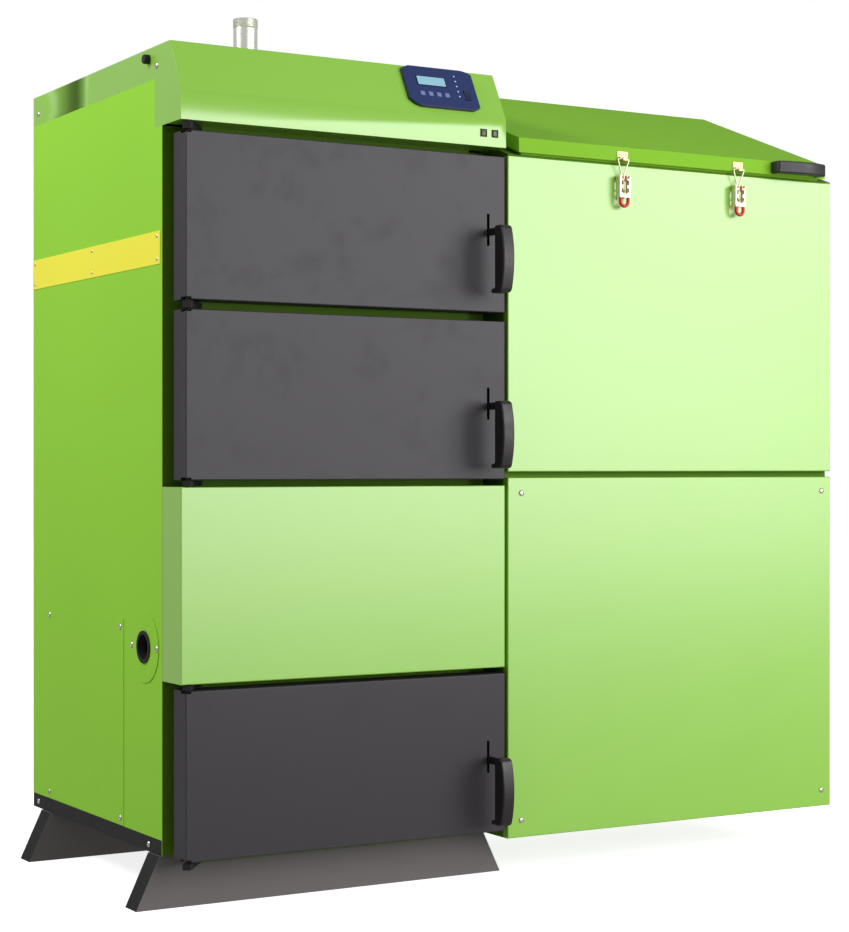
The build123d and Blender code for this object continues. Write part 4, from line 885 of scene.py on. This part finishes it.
class BOILER_OT_panel(Work):
    """Makes the control panel with its display, keys, lamps and switch"""

    bl_idname = "boiler.panel"
    bl_label = "Control panel"

    def make(self, context):
        housing = soft_node("panel_housing", looks["panel_edge"], FINE_EDGE)
        face = max(housing.data.polygons, key=lambda f: f.area * (f.normal.y < -0.5)).normal.copy()
        second_look(housing, looks["panel"], lambda centre, normal: normal.dot(face) > 0.99)
        window = node_copy("panel_window")
        parts = islands(window)
        widest = max(parts, key=lambda part: part[1].x - part[0].x)
        lamp_line = max(part[0].x for part in parts) - 0.002
        soften(window, TINY_EDGE)
        dress(
            window, "panel_foil", body_of_node("panel_window"), looks["key"],
            ("panel_window",),
        )
        second_look(
            window, looks["display"],
            lambda centre, normal: widest[0].x < centre.x < widest[1].x and centre.z > widest[0].z,
        )
        second_look(window, looks["lamp"], lambda centre, normal: centre.x > lamp_line)
        self.bezel(widest, face)
        soft_node("power_rocker", looks["rocker"], 0.0004)
        for k in (1, 2):
            self.button(k)

    def bezel(self, display, out):
        """A narrow raised frame round the display."""
        low, high = display
        up = Vector((0, out.z, -out.y))
        middle = (low + high) / 2
        bar_width = 0.0012
        across = (high.x - low.x) / 2 + bar_width
        along = (high - low).dot(up) / 2 + 0.0004
        bars = []
        for side in (-1, 1):
            for length, width, centre in (
                (across * 2 + bar_width, bar_width, middle + up * (along * side)),
                (bar_width, along * 2, middle + Vector((across * side, 0, 0))),
            ):
                bar = cube((-length / 2, -width / 2, -0.0003), (length / 2, width / 2, 0.0005))
                bar.matrix_world = Matrix.Translation(centre) @ Matrix((
                    (1, 0, 0), (0, up.y, out.y), (0, up.z, out.z))).to_4x4()
                settle(bar)
                bars.append(bar)
        surround = joined(bars, "display_bezel")
        soften(surround, TINY_EDGE)
        dress(surround, "display_bezel", "boiler", looks["panel_edge"])

    def button(self, k):
        """A square push button with a raised rim and a lighter, slightly sunken cap."""
        node = f"fascia_button_{k}"
        piece = node_copy(node)
        sunk = spot(node)[0].y + 0.0005
        pick_faces(piece, lambda centre, normal: normal.y < -0.9 and centre.y < sunk)
        bpy.ops.mesh.inset(thickness=0.0022)
        bpy.ops.mesh.extrude_region_move(TRANSFORM_OT_translate={"value": (0, 0.0006, 0)})
        out_of_edit()
        soften(piece, TINY_EDGE)
        dress(
            piece, f"push_button_{k}", body_of_node(node), looks["button_frame"],
            (node,),
        )
        second_look(
            piece, looks["button"],
            lambda centre, normal: normal.y < -0.9 and sunk < centre.y < sunk + 0.0003,
        )


class BOILER_OT_latches(Work):
    """Makes the lid's toggle latches"""

    bl_idname = "boiler.latches"
    bl_label = "Latches"

    def make(self, context):
        soft_node("latch_bases", looks["blush"], TINY_EDGE)
        soft_node("lid_catches", looks["blush"], TINY_EDGE)
        for k in (1, 2):
            node = f"latch_lever_{k}"
            lever = node_copy(node)
            dipped = spot(node)[0].z + 0.0172
            soften(lever, TINY_EDGE)
            dress(lever, f"{node}_pressed", f"latch_{k}", looks["latch"], (node,))
            second_look(lever, looks["red"], lambda centre, normal: centre.z < dipped)
            soft_node(f"latch_loop_{k}", looks["latch"], 0)
        self.rivets()

    def rivets(self):
        """Two domed rivets in each catch plate of the lid."""
        helper = node_copy("lid_catches")
        plates = islands(helper)
        away(helper)
        profile = [(0, 0.0011), (0.0009, 0.00095), (0.0016, 0.0005), (0.0019, 0), (0.0019, -0.0002)]
        heads = []
        for low, high in plates:
            for side in (-1, 1):
                place = ((low.x + high.x) / 2 + side * 0.0072, high.y - 0.0015, high.z - 0.0045)
                heads.append(turned(profile, place, (0, -1, 0), 20))
        row = joined(heads, "lid_catches_rivets")
        soften(row, 0)
        dress(row, "lid_catches_rivets", "lid", looks["latch"])


class BOILER_OT_stage(Work):
    """Makes the floor, the light and the camera"""

    bl_idname = "boiler.stage"
    bl_label = "Stage"

    def make(self, context):
        self.floor(context)
        self.air(context.scene)
        self.lights(context.scene)
        self.camera(context.scene)
        context.scene.view_settings.view_transform = "Standard"

    def floor(self, context):
        """A plain pale floor that lights nothing on the boiler."""
        nothing()
        bpy.ops.mesh.primitive_plane_add(size=24, location=(0, 4, 0))
        floor = context.object
        floor.name = "studio_floor"
        pale = Finish("studio_floor_paint", (0.86, 0.86, 0.86), 0.95)
        pale.shader.inputs["Emission Color"].default_value = (1, 1, 1, 1)
        pale.shader.inputs["Emission Strength"].default_value = 0.8
        pale.shader.inputs["Specular IOR Level"].default_value = 0.0
        clouds = pale.noise(3, 2)
        pale.tint(pale.blend(clouds, (0.85, 0.85, 0.85), (0.87, 0.87, 0.87)))
        floor.data.materials.append(pale.material)
        floor.visible_diffuse = False
        floor.visible_glossy = False

    def air(self, scene):
        """White surroundings, brighter to the camera than to the boiler."""
        world = bpy.data.worlds.new("studio_air")
        world.use_nodes = True
        air = world.node_tree
        back = air.nodes["Background"]
        path = air.nodes.new("ShaderNodeLightPath")
        mix = air.nodes.new("ShaderNodeMix")
        mix.data_type = "FLOAT"
        mix.inputs[2].default_value = 0.36
        mix.inputs[3].default_value = 1.0
        air.links.new(path.outputs["Is Camera Ray"], mix.inputs[0])
        air.links.new(mix.outputs[0], back.inputs["Strength"])
        back.inputs["Color"].default_value = (1, 1, 1, 1)
        scene.world = world

    def lights(self, scene):
        """A large card in front, a small key and a softbox over the left side."""
        for name, place, aim, size, watts in (
            ("wash_card", (1.45, -3.3, 1.5), (0.05, -0.3, 0.95), (3.8, 2.4), 116),
            ("key_softbox", (3.1, -3.0, 2.1), (0.2, -0.3, 0.8), (0.6, 0.6), 7),
            ("side_softbox", (-2.7, 0.3, 2.6), (-0.6, 0.1, 1.15), (1.4, 1.0), 52),
        ):
            light = bpy.data.lights.new(name, "AREA")
            light.shape = "RECTANGLE"
            light.size, light.size_y = size
            light.energy = watts
            lamp = bpy.data.objects.new(name, light)
            scene.collection.objects.link(lamp)
            lamp.location = place
            lamp.rotation_euler = (Vector(aim) - Vector(place)).to_track_quat("-Z", "Y").to_euler()

    def camera(self, scene):
        """The photo's viewpoint."""
        lens = bpy.data.cameras.new("photo_view")
        lens.lens = CAMERA_LENS_MM
        lens.sensor_width = 36
        lens.sensor_fit = "AUTO"
        lens.clip_end = 60
        camera = bpy.data.objects.new("photo_view", lens)
        scene.collection.objects.link(camera)
        camera.location = CAMERA_PLACE
        camera.rotation_euler = CAMERA_TURN
        scene.camera = camera


class BOILER_PT_sidebar(bpy.types.Panel):
    """Lists the boiler's settings and operators"""

    bl_idname = "BOILER_PT_sidebar"
    bl_label = "Pellet boiler"
    bl_space_type = "VIEW_3D"
    bl_region_type = "UI"
    bl_category = "Boiler"

    def draw(self, context):
        for group in (context.scene.boiler_paint, context.scene.boiler_sizes):
            for key in group.__annotations__:
                self.layout.prop(group, key)
        for operator in operators:
            self.layout.operator(operator.bl_idname)


operators = (
    BOILER_OT_finishes, BOILER_OT_stage, BOILER_OT_jacket, BOILER_OT_body, BOILER_OT_doors,
    BOILER_OT_hopper, BOILER_OT_flow_pipe, BOILER_OT_trim, BOILER_OT_panel, BOILER_OT_latches,
)
classes = (BoilerPaint, BoilerSizes, *operators, BOILER_PT_sidebar)


def register():
    """Registers the classes and the scene's settings."""
    for item in classes:
        bpy.utils.register_class(item)
    bpy.types.Scene.boiler_paint = bpy.props.PointerProperty(type=BoilerPaint)
    bpy.types.Scene.boiler_sizes = bpy.props.PointerProperty(type=BoilerSizes)


def unregister():
    """Takes the settings and classes away again."""
    del bpy.types.Scene.boiler_paint
    del bpy.types.Scene.boiler_sizes
    for item in reversed(classes):
        bpy.utils.unregister_class(item)


def main():
    """Dresses the boiler."""
    register()
    for operator in operators:
        family, name = operator.bl_idname.split(".")
        getattr(getattr(bpy.ops, family), name)()


if __name__ == "__main__":
    main()
